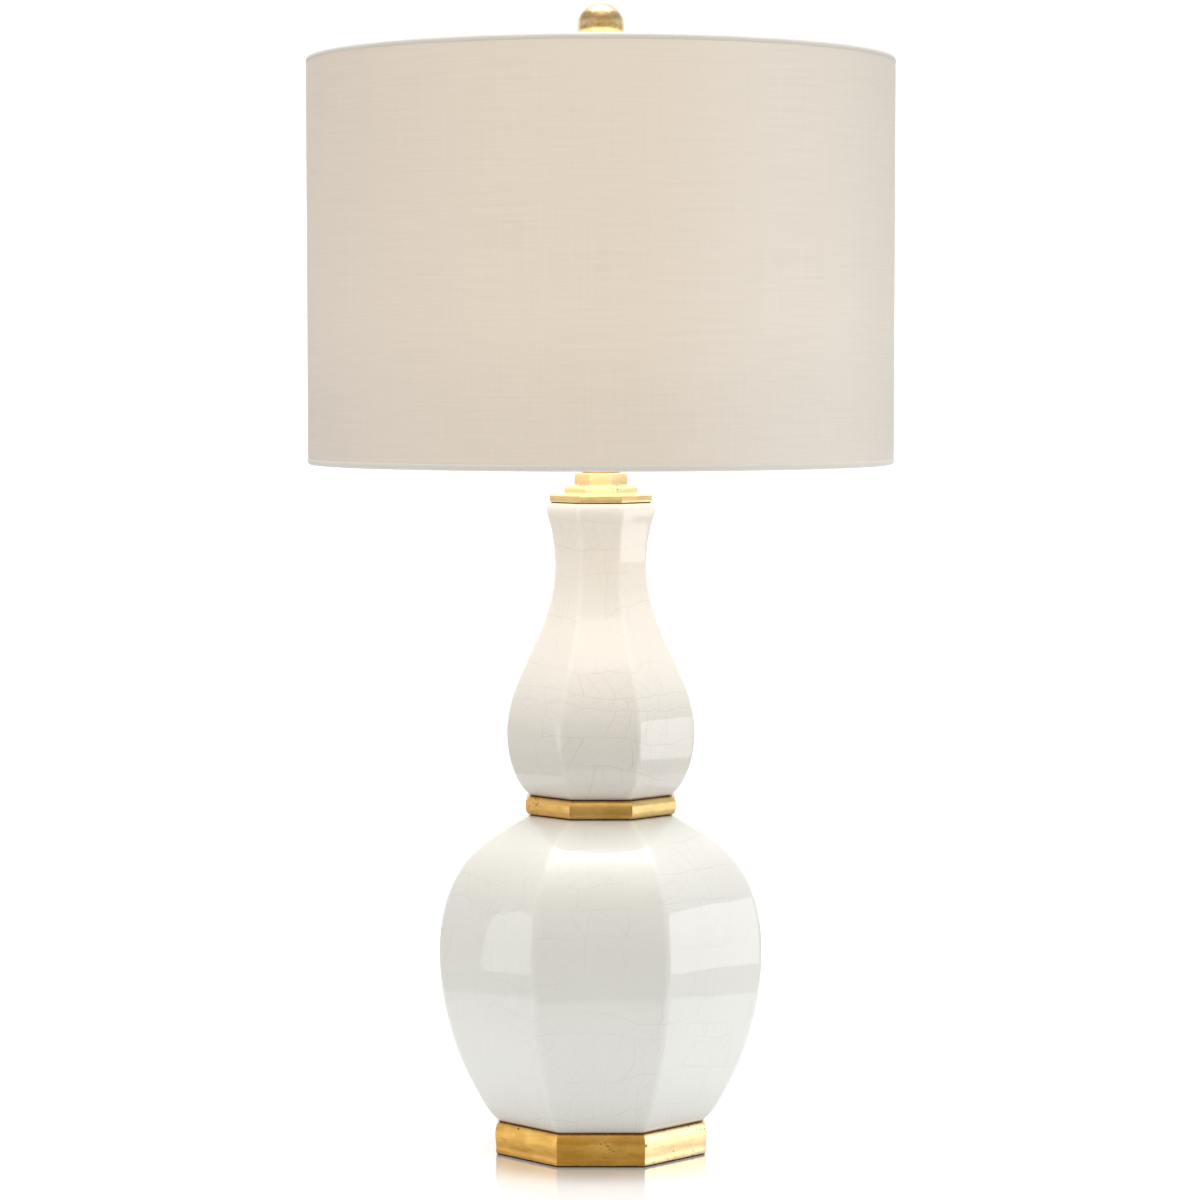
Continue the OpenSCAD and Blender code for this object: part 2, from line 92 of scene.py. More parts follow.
def spline(points, per=8):
    """Catmull-Rom curve through points of any dimension."""
    p = [tuple(map(float, q)) for q in points]
    p = [tuple(2 * a - b for a, b in zip(p[0], p[1]))] + p + [tuple(2 * a - b for a, b in zip(p[-1], p[-2]))]
    out = []
    for i in range(1, len(p) - 2):
        for k in range(per):
            t = k / per
            out.append(tuple(
                0.5 * (2 * b + (c - a) * t + (2 * a - 5 * b + 4 * c - d) * t * t + (3 * b - a - 3 * c + d) * t ** 3)
                for a, b, c, d in zip(p[i - 1], p[i], p[i + 1], p[i + 2])))
    out.append(p[-2])
    return out


def resample(path, step):
    """The same line with points an even step apart, both ends kept."""
    run = [0.0]
    for a, b in zip(path, path[1:]):
        run.append(run[-1] + math.dist(a, b))
    n = max(2, round(run[-1] / step))
    out, j = [], 0
    for i in range(n + 1):
        s = run[-1] * i / n
        while j < len(run) - 2 and run[j + 1] < s:
            j += 1
        t = clamp((s - run[j]) / max(run[j + 1] - run[j], 1e-9))
        out.append(tuple(lerp(a, b, t) for a, b in zip(path[j], path[j + 1])))
    return out


def faired(points, step=1.0, sigma=5.0, out_step=2.0):
    """A profile with the small wobbles between its given points ironed out. Its ends stay put."""
    p = resample(spline(points, 12), step)
    n, half = len(p), int(3 * sigma / step)
    w = [math.exp(-0.5 * (k * step / sigma) ** 2) for k in range(-half, half + 1)]

    def at(i):
        if i < 0:
            return tuple(2 * a - b for a, b in zip(p[0], p[min(-i, n - 1)]))
        if i >= n:
            return tuple(2 * a - b for a, b in zip(p[-1], p[max(2 * n - 2 - i, 0)]))
        return p[i]

    q = [tuple(sum(wk * at(i + k)[d] for wk, k in zip(w, range(-half, half + 1))) / sum(w) for d in (0, 1))
         for i in range(n)]
    return resample(q, out_step)


# ------------------------------------------------------------------ mesh building


def new_object(name, verts, faces, mats, body, nodes=(), face_mats=None, uvs=None,
               attrs=None, sharp=35.0, flat=False):
    """verts in mm. mats: one material or several. attrs: name to one value per vertex."""
    me = bpy.data.meshes.new(name)
    me.from_pydata([(x * MM, y * MM, z * MM) for x, y, z in verts], [], faces)
    me.validate(clean_customdata=False)
    for m in (mats if isinstance(mats, (list, tuple)) else [mats]):
        me.materials.append(m)
    if face_mats:
        me.polygons.foreach_set("material_index", face_mats)
    if uvs:
        layer = me.uv_layers.new(name="UVMap")
        layer.data.foreach_set("uv", [c * MM for f in uvs for uv in f for c in uv])
    for key, values in (attrs or {}).items():
        a = me.attributes.new(key, "FLOAT", "POINT")
        a.data.foreach_set("value", values)
    if not flat:
        me.shade_smooth()
        me.set_sharp_from_angle(angle=math.radians(sharp))
    me.update()
    o = bpy.data.objects.new(name, me)
    bpy.context.scene.collection.objects.link(o)
    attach(o, body)
    if nodes:
        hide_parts(*nodes)
    return o


class Build:
    """Collects rings and loose meshes into one object's vertices and faces."""

    def __init__(self):
        self.v, self.f, self.m, self.uv, self.attr = [], [], [], [], {}

    def points(self, pts, **attrs):
        i = len(self.v)
        self.v += pts
        for k in set(self.attr) | set(attrs):
            col = self.attr.setdefault(k, [])
            col += [0.0] * (i - len(col))
            val = attrs.get(k, 0.0)
            col += list(val) if isinstance(val, (list, tuple)) else [val] * len(pts)
        return i

    def face(self, idx, mat=0, uv=None):
        self.f.append(tuple(idx))
        self.m.append(mat)
        self.uv.append(uv if uv is not None else [(0.0, 0.0)] * len(idx))

    def loft(self, rings, closed=True, loop=False, cap0=False, cap1=False, mat=0, uvs=None, attrs=None):
        """Quads between rings of equal length. uvs: per ring, one more pair than points when closed."""
        n = len(rings[0])
        start = []
        for k, r in enumerate(rings):
            a = {key: val[k] for key, val in (attrs or {}).items()}
            start.append(self.points(list(r), **a))
        cols = n if closed else n - 1
        pairs = list(zip(range(len(rings)), range(1, len(rings))))
        if loop:
            pairs.append((len(rings) - 1, 0))
        for a, b in pairs:
            for j in range(cols):
                j2 = (j + 1) % n
                uv = None
                if uvs:
                    uv = [uvs[a][j], uvs[a][j + 1], uvs[b][j + 1], uvs[b][j]]
                self.face((start[a] + j, start[a] + j2, start[b] + j2, start[b] + j), mat, uv)
        if cap0:
            self.face([start[0] + j for j in reversed(range(n))], mat)
        if cap1:
            self.face([start[-1] + j for j in range(n)], mat)
        return start

    def done(self, name, mats, body, nodes=(), sharp=35.0, uv=False, flat=False):
        return new_object(name, self.v, self.f, mats, body, nodes,
                          self.m if any(self.m) else None, self.uv if uv else None,
                          {k: c + [0.0] * (len(self.v) - len(c)) for k, c in self.attr.items()}, sharp, flat)


def circle(r, z, n, turn=0.0, cx=0.0, cy=0.0):
    return [(cx + r * math.cos(turn + TAU * k / n), cy + r * math.sin(turn + TAU * k / n), z) for k in range(n)]


def octa(a, z, r, nf=6, nc=6):
    """Eight-sided ring with rounded corners, half width a across flats, corner radius r.
    Starts and ends in the middle of the back face. Returns points and how near each is to a corner."""
    r = min(r, a)
    s = (a - r) * T225
    pts, near = [], []
    half = nf // 2
    for k in range(8):
        phi = math.radians(90 + 45 * k)
        c, sn = math.cos(phi), math.sin(phi)
        for i in range(half):
            y = s * i / half
            pts.append((a * c - y * sn, a * sn + y * c, z))
            near.append(0.0 if i < half - 1 else 0.25)
        mid = phi + math.radians(22.5)
        d = (a - r) / C225
        for i in range(nc + 1):
            t = phi + math.radians(45) * i / nc
            pts.append((d * math.cos(mid) + r * math.cos(t), d * math.sin(mid) + r * math.sin(t), z))
            near.append(0.6 + 0.4 * math.sin(math.pi * i / nc))
        phi += math.radians(45)
        c, sn = math.cos(phi), math.sin(phi)
        for i in range(1, half):
            y = -s + s * i / half
            pts.append((a * c - y * sn, a * sn + y * c, z))
            near.append(0.0 if i > 1 else 0.25)
    return pts, near


def outward(pts, amount):
    """Each point moved outwards from the axis by amount(x, y, z)."""
    out = []
    for x, y, z in pts:
        d = math.hypot(x, y) or 1.0
        k = 1 + amount(x, y, z) / d
        out.append((x * k, y * k, z))
    return out


def lathe(b, prof, n=48, mat=0, cx=0.0, cy=0.0, attrs=None, loop=False, cap0=False, cap1=False):
    """Turned solid round a vertical line. prof: (radius, z), from the bottom up outside."""
    rings = [circle(max(r, 0.02), z, n, cx=cx, cy=cy) for r, z in prof]
    return b.loft(rings, mat=mat, attrs=attrs, loop=loop, cap0=cap0, cap1=cap1)


def fillet(points, r=0.3, k=3):
    """Corners of an open or closed profile rounded by short chords."""
    out = []
    n = len(points)
    for i, p in enumerate(points):
        if i in (0, n - 1) or (len(p) > 2 and p[2] == 0):
            out.append((p[0], p[1]))
            continue
        rr = p[2] if len(p) > 2 else r
        a, c = points[i - 1], points[(i + 1) % n]
        va, vc = (a[0] - p[0], a[1] - p[1]), (c[0] - p[0], c[1] - p[1])
        la, lc = math.hypot(*va), math.hypot(*vc)
        cut = min(rr, la * 0.45, lc * 0.45)
        s = (p[0] + va[0] / la * cut, p[1] + va[1] / la * cut)
        e = (p[0] + vc[0] / lc * cut, p[1] + vc[1] / lc * cut)
        for j in range(k + 1):
            t = j / k
            out.append(tuple((1 - t) ** 2 * s[d] + 2 * t * (1 - t) * p[d] + t * t * e[d] for d in (0, 1)))
    return out


def frames_along(path, closed=False):
    """Tangent and two steady normals at each point of a path."""
    n = len(path)
    tans = []
    for i in range(n):
        a = path[(i - 1) % n] if closed or i else path[0]
        c = path[(i + 1) % n] if closed or i < n - 1 else path[-1]
        tans.append((Vector(c) - Vector(a)).normalized())
    up = Vector((0, 1, 0))
    if abs(tans[0].dot(up)) > 0.9:
        up = Vector((1, 0, 0))
    u = (up - tans[0] * up.dot(tans[0])).normalized()
    out = []
    for t in tans:
        u = (u - t * u.dot(t)).normalized()
        out.append((t, u, t.cross(u)))
    return out


def tube(b, path, radius, n=14, closed=False, mat=0, caps=True, attrs=None):
    """Round bar along a path; radius is a number or one per point."""
    fr = frames_along(path, closed)
    rings = []
    for i, (p, (_, u, w)) in enumerate(zip(path, fr)):
        r = radius[i] if isinstance(radius, (list, tuple)) else radius
        rings.append([tuple(Vector(p) + (u * math.cos(TAU * k / n) + w * math.sin(TAU * k / n)) * r)
                      for k in range(n)])
    return b.loft(rings, loop=closed, cap0=caps and not closed, cap1=caps and not closed, mat=mat, attrs=attrs)


def placed(pts, matrix):
    return [tuple(matrix @ Vector(p)) for p in pts]


# ------------------------------------------------------------------ materials


class Mat:
    def __init__(self, name, **shader):
        self.m = bpy.data.materials.new(name)
        self.m.use_nodes = True
        self.t = self.m.node_tree
        self.t.nodes.clear()
        self.out = self.t.nodes.new("ShaderNodeOutputMaterial")
        self.p = self.t.nodes.new("ShaderNodeBsdfPrincipled")
        self.t.links.new(self.p.outputs[0], self.out.inputs[0])
        for k, v in shader.items():
            self.set(self.p, k.replace("_", " "), v)

    def set(self, node, key, value):
        sock = node.inputs[key]
        if isinstance(value, bpy.types.NodeSocket):
            self.t.links.new(value, sock)
        elif isinstance(value, (tuple, list)) and len(value) == 3 and sock.type == "RGBA":
            sock.default_value = (*value, 1.0)
        else:
            sock.default_value = value

    def add(self, kind, props=None, **inputs):
        n = self.t.nodes.new("ShaderNode" + kind)
        for k, v in (props or {}).items():
            setattr(n, k, v)
        for k, v in inputs.items():
            key = k.replace("_", " ")
            if k.startswith("i") and k[1:].isdigit():
                key = int(k[1:])
            self.set(n, key, v)
        return n

    def math(self, op, a, b=None, c=None, clamp_it=False):
        n = self.t.nodes.new("ShaderNodeMath")
        n.operation = op
        n.use_clamp = clamp_it
        for i, v in enumerate((a, b, c)):
            if v is not None:
                self.set(n, i, v)
        return n.outputs[0]

    def vmath(self, op, a, b=None, scale=None):
        n = self.t.nodes.new("ShaderNodeVectorMath")
        n.operation = op
        self.set(n, 0, a)
        if b is not None:
            self.set(n, 1, b)
        if scale is not None:
            self.set(n, 3, scale)
        return n.outputs[0]

    def remap(self, value, lo, hi, to_lo=0.0, to_hi=1.0, kind="SMOOTHSTEP"):
        n = self.t.nodes.new("ShaderNodeMapRange")
        n.interpolation_type = kind
        for k, v in zip(("Value", "From Min", "From Max", "To Min", "To Max"), (value, lo, hi, to_lo, to_hi)):
            self.set(n, k, v)
        return n.outputs[0]

    def mix(self, factor, a, b, mode="MIX"):
        n = self.t.nodes.new("ShaderNodeMix")
        n.data_type = "RGBA"
        n.blend_type = mode
        self.set(n, 0, factor)
        self.set(n, 6, a if isinstance(a, bpy.types.NodeSocket) else (*a, 1.0))
        self.set(n, 7, b if isinstance(b, bpy.types.NodeSocket) else (*b, 1.0))
        return n.outputs[2]

    def ramp(self, value, stops):
        n = self.t.nodes.new("ShaderNodeValToRGB")
        self.set(n, 0, value)
        e = n.color_ramp.elements
        while len(e) > 1:
            e.remove(e[0])
        e[0].position, e[0].color = stops[0][0], (*stops[0][1], 1.0)
        for pos, col in stops[1:]:
            x = e.new(pos)
            x.color = (*col, 1.0)
        return n.outputs[0]

    def obj(self, scale=None, offset=None):
        c = self.add("TexCoord").outputs["Object"]
        if scale is None and offset is None:
            return c
        return self.add("Mapping", Vector=c, Scale=scale or (1, 1, 1), Location=offset or (0, 0, 0)).outputs[0]

    def uv(self, scale=None, offset=None):
        c = self.add("UVMap", {"uv_map": "UVMap"}).outputs[0]
        if scale is None and offset is None:
            return c
        return self.add("Mapping", Vector=c, Scale=scale or (1, 1, 1), Location=offset or (0, 0, 0)).outputs[0]

    def noise(self, vector, scale, detail=2.0, rough=0.5, lac=2.0, distortion=0.0, out=0):
        n = self.add("TexNoise", Vector=vector, Scale=scale, Detail=detail, Roughness=rough,
                     Lacunarity=lac, Distortion=distortion)
        return n.outputs[out]

    def attr(self, name):
        return self.add("Attribute", {"attribute_name": name}).outputs["Fac"]

    def bump(self, height, strength, distance, normal=None):
        n = self.add("Bump", Strength=strength, Distance=distance, Height=height)
        if normal is not None:
            self.set(n, "Normal", normal)
        return n.outputs[0]

    def finish(self, **inputs):
        for k, v in inputs.items():
            self.set(self.p, k.replace("_", " "), v)
        return self.m


def glaze(name, body_colour, painted_warm_colour, line_colour, seed, radius, pitch, strength=0.5, painted_warm_heights=(0.0, 1.0)):
    """Clear glaze over a pale body. The crackle is made the way glaze cracks: long wandering cracks round the
    pot, shorter ones that stop where they meet them, then finer ones inside some of the pieces.
    radius and pitch are in metres; warm is the height range over which the tone turns to painted_warm_colour, a painted
    warm light as from the lit shade above."""
    g = Mat(name, Roughness=0.45, IOR=1.5, Specular_IOR_Level=0.2, Coat_Weight=1.0, Coat_Roughness=0.012, Coat_IOR=1.50)
    co = g.obj(offset=(seed, seed * 0.4, seed * 0.7))
    plain_co = g.obj()
    sep = g.add("SeparateXYZ", Vector=plain_co)
    turn = g.math("ARCTAN2", sep.outputs[0], sep.outputs[1])
    u0 = g.math("MULTIPLY", turn, radius)
    v0 = g.math("MULTIPLY", g.attr("run"), 0.001)

    def wander(scale, amount, detail=2.0):
        n = g.noise(co, scale, detail, 0.5, out=1)
        return g.add("SeparateXYZ", Vector=g.vmath("SCALE", g.vmath("SUBTRACT", n, (0.5, 0.5, 0.5)), scale=amount))

    big, mid, tiny = wander(8.0, 0.066), wander(26.0, 0.016), wander(150.0, 0.0015)
    u = g.math("ADD", g.math("ADD", u0, big.outputs[0]), g.math("ADD", mid.outputs[0], tiny.outputs[0]))
    v = g.math("ADD", g.math("ADD", v0, big.outputs[1]), g.math("ADD", mid.outputs[1], tiny.outputs[1]))

    def split(where, step, key=None):
        """Distance to the nearest crack of one set, in metres, and a random number for the piece."""
        w = g.math("DIVIDE", where, step)
        if key is not None:
            w = g.math("ADD", w, g.math("MULTIPLY", key, 57.0))
        d = g.add("TexVoronoi", {"voronoi_dimensions": "1D", "feature": "DISTANCE_TO_EDGE"}, W=w, Scale=1.0)
        c = g.add("TexVoronoi", {"voronoi_dimensions": "1D", "feature": "F1"}, W=w, Scale=1.0)
        rgb = g.add("SeparateColor", Color=c.outputs["Color"])
        return g.math("MULTIPLY", d.outputs["Distance"], step), rgb

    def line(distance, width):
        return g.remap(distance, width * 0.25, width, 1.0, 0.0)

    d1, k1 = split(v, pitch)
    d2, k2 = split(u, pitch * 1.35, k1.outputs[0])
    piece = g.math("FRACT", g.math("ADD", g.math("MULTIPLY", k1.outputs[1], 3.7), g.math("MULTIPLY", k2.outputs[0], 5.3)))
    piece2 = g.math("FRACT", g.math("ADD", g.math("MULTIPLY", k1.outputs[2], 7.1), g.math("MULTIPLY", k2.outputs[1], 2.9)))
    lean = g.math("MULTIPLY", g.math("SUBTRACT", piece, 0.5), 2.4)
    slant_a = g.math("ADD", v, g.math("MULTIPLY", u, lean))
    slant_b = g.math("SUBTRACT", u, g.math("MULTIPLY", v, lean))
    d3, k3 = split(slant_b, pitch * 0.55, piece)
    d4, k4 = split(slant_a, pitch * 0.42, g.math("ADD", piece2, k3.outputs[0]))
    d5, k5 = split(slant_b, pitch * 0.22, g.math("ADD", k4.outputs[1], piece2))
    some3 = g.remap(piece2, 0.18, 0.20)
    some4 = g.remap(g.math("FRACT", g.math("ADD", piece, k3.outputs[1])), 0.26, 0.28)
    some5 = g.remap(g.math("FRACT", g.math("ADD", piece2, k4.outputs[2])), 0.55, 0.57)
    first = g.math("MAXIMUM", line(d1, 0.00050), g.math("MULTIPLY", line(d2, 0.00046), 0.9))
    third = g.math("MULTIPLY", line(d3, 0.00040), g.math("MULTIPLY", some3, 0.75))
    fourth = g.math("MULTIPLY", line(d4, 0.00036), g.math("MULTIPLY", some4, 0.62))
    fifth = g.math("MULTIPLY", line(d5, 0.00030), g.math("MULTIPLY", g.math("MULTIPLY", some4, some5), 0.52))
    crack = g.math("MAXIMUM", first, g.math("MAXIMUM", third, g.math("MAXIMUM", fourth, fifth)))
    fade = g.remap(g.noise(co, 16.0, 4.0, 0.65), 0.36, 0.66, 0.12, 1.0)
    crack = g.math("MULTIPLY", crack, g.math("MULTIPLY", fade, strength))
    # painted warm light: towards the top the glaze is tinted warmer, as lit from the shade above
    height = g.remap(sep.outputs[2], painted_warm_heights[0], painted_warm_heights[1])
    tone_with_painted_warmth = g.mix(height, body_colour, painted_warm_colour)
    cloud = g.remap(g.noise(co, 10.0, 3.0, 0.55), 0.3, 0.7)
    tone_with_painted_warmth = g.mix(g.math("MULTIPLY", cloud, 0.35), tone_with_painted_warmth, tuple(c * 0.955 for c in body_colour))
    # glaze runs thin on the arrises, so the pale body shows there
    arris = g.math("MULTIPLY", g.remap(g.attr("corner"), 0.5, 1.0), 0.40)
    tone_with_painted_warmth = g.mix(arris, tone_with_painted_warmth, tuple(min(0.90, c * 1.06) for c in body_colour))
    speck = g.add("TexVoronoi", {"feature": "F1"}, Vector=co, Scale=95.0)
    hole = g.remap(speck.outputs["Distance"], 0.025, 0.05, 1.0, 0.0)
    rare = g.remap(g.add("SeparateColor", Color=speck.outputs["Color"]).outputs[2], 0.978, 0.985)
    crack = g.math("MAXIMUM", crack, g.math("MULTIPLY", g.math("MULTIPLY", hole, rare), 0.35))
    colour = g.mix(crack, tone_with_painted_warmth, line_colour)
    ripple = g.noise(co, 30.0, 2.0, 0.45)
    coat_n = g.bump(ripple, 0.06, 0.004)
    under = g.bump(g.math("MULTIPLY", crack, -1.0), 0.25, 0.0002)
    return g.finish(Base_Color=colour, Normal=under, Coat_Normal=coat_n)


def gold_leaf(name, tone=(0.58, 0.315, 0.046), pale=(0.80, 0.50, 0.125), deep=(0.34, 0.165, 0.018), seed=0.0,
              grain=1.0, stretch=18.0, spread=0.55, satin=0.0, coat=0.35, cloud=0.4, faces=(), steps=()):
    """Leaf laid over red-brown bole: brushed along the moulding, thin at the arrises, with nicks.
    faces gives (x, y, tone, amount): painted light and shade, a side of the moulding tinted paler or deeper by the way
    it faces the light; steps gives (z0, z1, tone, amount): painted light and shade by height, in metres."""
    g = Mat(name, Metallic=1.0, IOR=1.5, Coat_Weight=coat, Coat_Roughness=0.16)
    co = g.obj(offset=(seed, seed * 0.7, seed * 0.3))
    brush = g.noise(g.add("Mapping", Vector=co, Scale=(1, 1, stretch)).outputs[0], 70.0 * grain, 4.0, 0.6)
    soft = g.noise(co, 30.0 * grain, 3.0, 0.6)
    mott = g.noise(co, 150.0 * grain, 4.0, 0.65)
    tone_mix = g.mix(g.remap(soft, 0.34, 0.66), tone, pale)
    tone_mix = g.mix(g.math("MULTIPLY", g.remap(brush, 0.44, 0.74), 0.30), tone_mix, deep)
    stain = g.noise(co, 17.0 * grain, 3.0, 0.55)
    tone_mix = g.mix(g.math("MULTIPLY", g.remap(stain, 0.46, 0.68), spread), tone_mix, deep)
    tone_mix = g.mix(g.math("MULTIPLY", g.remap(mott, 0.50, 0.78), 0.35), tone_mix, deep)
    laps = g.add("TexVoronoi", {"feature": "DISTANCE_TO_EDGE"}, Vector=g.vmath("ADD", co, g.vmath(
        "SCALE", g.noise(co, 40.0, 2.0, out=1), scale=0.012)), Scale=26.0 * grain).outputs["Distance"]
    lap = g.math("MULTIPLY", g.remap(laps, 0.0, 0.03, 1.0, 0.0), 0.10)
    tone_mix = g.mix(lap, tone_mix, deep)
    at = g.add("SeparateXYZ", Vector=g.obj())
    # painted light and shade by height
    for z0, z1, tint, amount in steps:
        here = g.remap(at.outputs[2], z0, z1)
        tone_mix = g.mix(g.math("MULTIPLY", here, amount), tone_mix, tint, "MULTIPLY")
    if faces:
        away = g.math("SQRT", g.math("ADD", g.math("MULTIPLY", at.outputs[0], at.outputs[0]),
                                     g.math("MULTIPLY", at.outputs[1], at.outputs[1])))
    # painted light and shade: each side tinted paler or deeper by the way it faces
    for fx, fy, tint, amount in faces:
        along = g.math("ADD", g.math("MULTIPLY", at.outputs[0], fx), g.math("MULTIPLY", at.outputs[1], fy))
        here = g.remap(g.math("DIVIDE", along, g.math("MAXIMUM", away, 0.001)), 0.9224, 0.9254)
        tone_mix = g.mix(g.math("MULTIPLY", here, amount), tone_mix, tint)
    cloudy = g.noise(g.add("Mapping", Vector=co, Scale=(1, 1, 3.5)).outputs[0], 62.0 * grain, 5.0, 0.66)
    tone_mix = g.mix(g.math("MULTIPLY", g.remap(cloudy, 0.40, 0.66), cloud), tone_mix, (0.66, 0.60, 0.43), "MULTIPLY")
    # wear shows the bole
    edge = g.attr("wear")
    rub = g.noise(co, 210.0 * grain, 4.0, 0.7)
    worn = g.remap(g.math("ADD", edge, g.math("MULTIPLY", g.math("SUBTRACT", rub, 0.5), 0.9)), 0.72, 0.92)
    pits = g.add("TexVoronoi", {"feature": "F1"}, Vector=co, Scale=150.0 * grain)
    pit = g.remap(pits.outputs["Distance"], 0.10, 0.22, 1.0, 0.0)
    pit = g.math("MULTIPLY", pit, g.remap(g.add("SeparateColor", Color=pits.outputs["Color"]).outputs[0],
                                          0.93, 0.96))
    nicks = g.add("TexVoronoi", {"feature": "F1"}, Vector=g.add("Mapping", Vector=co, Scale=(1, 1, 1.7)).outputs[0],
                  Scale=400.0 * grain)
    nick = g.math("MULTIPLY", g.remap(nicks.outputs["Distance"], 0.20, 0.42, 1.0, 0.0),
                  g.remap(g.add("SeparateColor", Color=nicks.outputs["Color"]).outputs[1], 0.55, 0.62))
    nick = g.math("MULTIPLY", nick, g.remap(g.math("ADD", g.noise(co, 42.0 * grain, 3.0, 0.6),
                                                   g.math("MULTIPLY", edge, 0.24)), 0.60, 0.65))
    bare = g.math("MAXIMUM", worn, g.math("MAXIMUM", pit, nick))
    bole = g.mix(g.remap(mott, 0.3, 0.7), (0.17, 0.050, 0.018), (0.30, 0.11, 0.035))
    colour = g.mix(bare, tone_mix, bole)
    rough = g.math("ADD", g.remap(brush, 0.3, 0.75, 0.28 + satin, 0.38 + satin), g.math("MULTIPLY", bare, 0.30))
    metal = g.math("SUBTRACT", 1.0, g.math("MULTIPLY", bare, 0.9))
    h = g.math("ADD", g.math("MULTIPLY", brush, 0.6), g.math("MULTIPLY", mott, 0.4))
    h = g.math("SUBTRACT", h, g.math("MULTIPLY", bare, 0.5))
    return g.finish(Base_Color=colour, Roughness=rough, Metallic=metal, Normal=g.bump(h, 0.14, 0.0005))


def linen(name, tone, dark=1.0, seed=0.0, glow=0.19, painted_shading=()):
    """Plain-woven linen: threads a little over half a millimetre apart, with thick places in both directions.
    shaded gives (axis, p0, p1, tone): painted light and shade, the cloth takes that tone more and more from p0 to p1,
    in metres."""
    g = Mat(name, Roughness=0.86, IOR=1.45, Specular_IOR_Level=0.25)
    uv = g.uv(offset=(seed, seed, 0))
    weft = g.noise(g.add("Mapping", Vector=uv, Scale=(14, 620, 1)).outputs[0], 1.0, 3.0, 0.62)
    weft2 = g.noise(g.add("Mapping", Vector=uv, Scale=(45, 1500, 1)).outputs[0], 1.0, 2.0, 0.5)
    warp = g.noise(g.add("Mapping", Vector=uv, Scale=(560, 10, 1)).outputs[0], 1.0, 3.0, 0.62)
    cloud = g.noise(uv, 7.0, 3.0, 0.5)
    fac = g.math("ADD", g.math("MULTIPLY", g.math("SUBTRACT", weft, 0.5), 0.34),
                 g.math("MULTIPLY", g.math("SUBTRACT", warp, 0.5), 0.17))
    fac = g.math("ADD", fac, g.math("MULTIPLY", g.math("SUBTRACT", weft2, 0.5), 0.14))
    fac = g.math("ADD", fac, g.math("MULTIPLY", g.math("SUBTRACT", cloud, 0.5), 0.10))
    sep = g.add("SeparateXYZ", Vector=uv)
    pitch = TAU / 0.00058
    su = g.math("SINE", g.math("MULTIPLY", sep.outputs[0], pitch))
    sv = g.math("SINE", g.math("MULTIPLY", sep.outputs[1], pitch))
    weave = g.math("MULTIPLY", su, sv)
    fac = g.math("ADD", fac, g.math("MULTIPLY", weave, 0.035))
    tone = tuple(c * dark for c in tone)
    low = tuple(c * 0.80 for c in tone)
    high = (min(1, tone[0] * 1.13), min(1, tone[1] * 1.14), min(1, tone[2] * 1.16))
    colour = g.ramp(g.math("ADD", fac, 0.5, clamp_it=True), [(0.0, low), (0.5, tone), (1.0, high)])
    at = g.add("SeparateXYZ", Vector=g.obj())
    # painted light and shade: the cloth is tinted toward the given tone across the drum and down to its bottom
    for axis, p0, p1, tint in painted_shading:
        here = g.remap(at.outputs[axis], min(p0, p1), max(p0, p1), *((0.0, 1.0) if p1 > p0 else (1.0, 0.0)))
        colour = g.mix(here, colour, tint, "MULTIPLY")
    h = g.math("ADD", g.math("MULTIPLY", g.math("ABSOLUTE", weave), 0.35),
               g.math("ADD", g.math("MULTIPLY", weft, 0.9), g.math("MULTIPLY", warp, 0.5)))
    # painted glow: light from the lining painted into the cloth as emission, strongest on the front side and faint at
    # the back
    front = at.outputs[1]
    glow = g.math("MAXIMUM", g.remap(front, -0.216, 0.216, glow * 2.1, glow * -0.6, "LINEAR"), glow * 0.3)
    return g.finish(Base_Color=colour, Normal=g.bump(h, 0.35, 0.00035), Emission_Color=g.mix(0.5, colour, (1.0, 0.80, 0.58), "MULTIPLY"),
                    Emission_Strength=glow)


def brass(name, tone=(0.72, 0.50, 0.22), rough=0.24, seed=0.0, brush=(1, 1, 1), dull=0.35):
    g = Mat(name, Metallic=1.0)
    co = g.obj(offset=(seed, 0, seed))
    b = g.noise(g.add("Mapping", Vector=co, Scale=brush).outputs[0], 320.0, 3.0, 0.6)
    c = g.noise(co, 55.0, 3.0, 0.6)
    col = g.mix(g.math("MULTIPLY", g.remap(c, 0.35, 0.72), dull), tone, tuple(x * 0.62 for x in tone))
    col = g.mix(g.math("MULTIPLY", g.remap(b, 0.4, 0.75), 0.20), col, tuple(min(1, x * 1.25) for x in tone))
    r = g.math("ADD", rough - 0.06, g.math("MULTIPLY", g.math("ADD", b, c), 0.11))
    return g.finish(Base_Color=col, Roughness=r, Normal=g.bump(b, 0.10, 0.0002))


def plain(name, tone, rough=0.5, metallic=0.0, grain=300.0, vary=0.12, bump=0.15, spec=0.5, coat=0.0, depth=0.0003,
          stretch=(1, 1, 1)):
    g = Mat(name, Metallic=metallic, Specular_IOR_Level=spec, Coat_Weight=coat, Coat_Roughness=0.12)
    co = g.add("Mapping", Vector=g.obj(), Scale=stretch).outputs[0]
    a = g.noise(co, grain, 4.0, 0.6)
    c = g.noise(co, grain * 0.12, 3.0, 0.5)
    col = g.mix(g.remap(a, 0.3, 0.7), tuple(x * (1 - vary) for x in tone), tuple(min(1, x * (1 + vary)) for x in tone))
    col = g.mix(g.math("MULTIPLY", g.remap(c, 0.35, 0.7), 0.5), col, tuple(x * (1 - vary) for x in tone))
    return g.finish(Base_Color=col, Roughness=g.math("ADD", rough - 0.08, g.math("MULTIPLY", c, 0.16)),
                    Normal=g.bump(a, bump, depth))
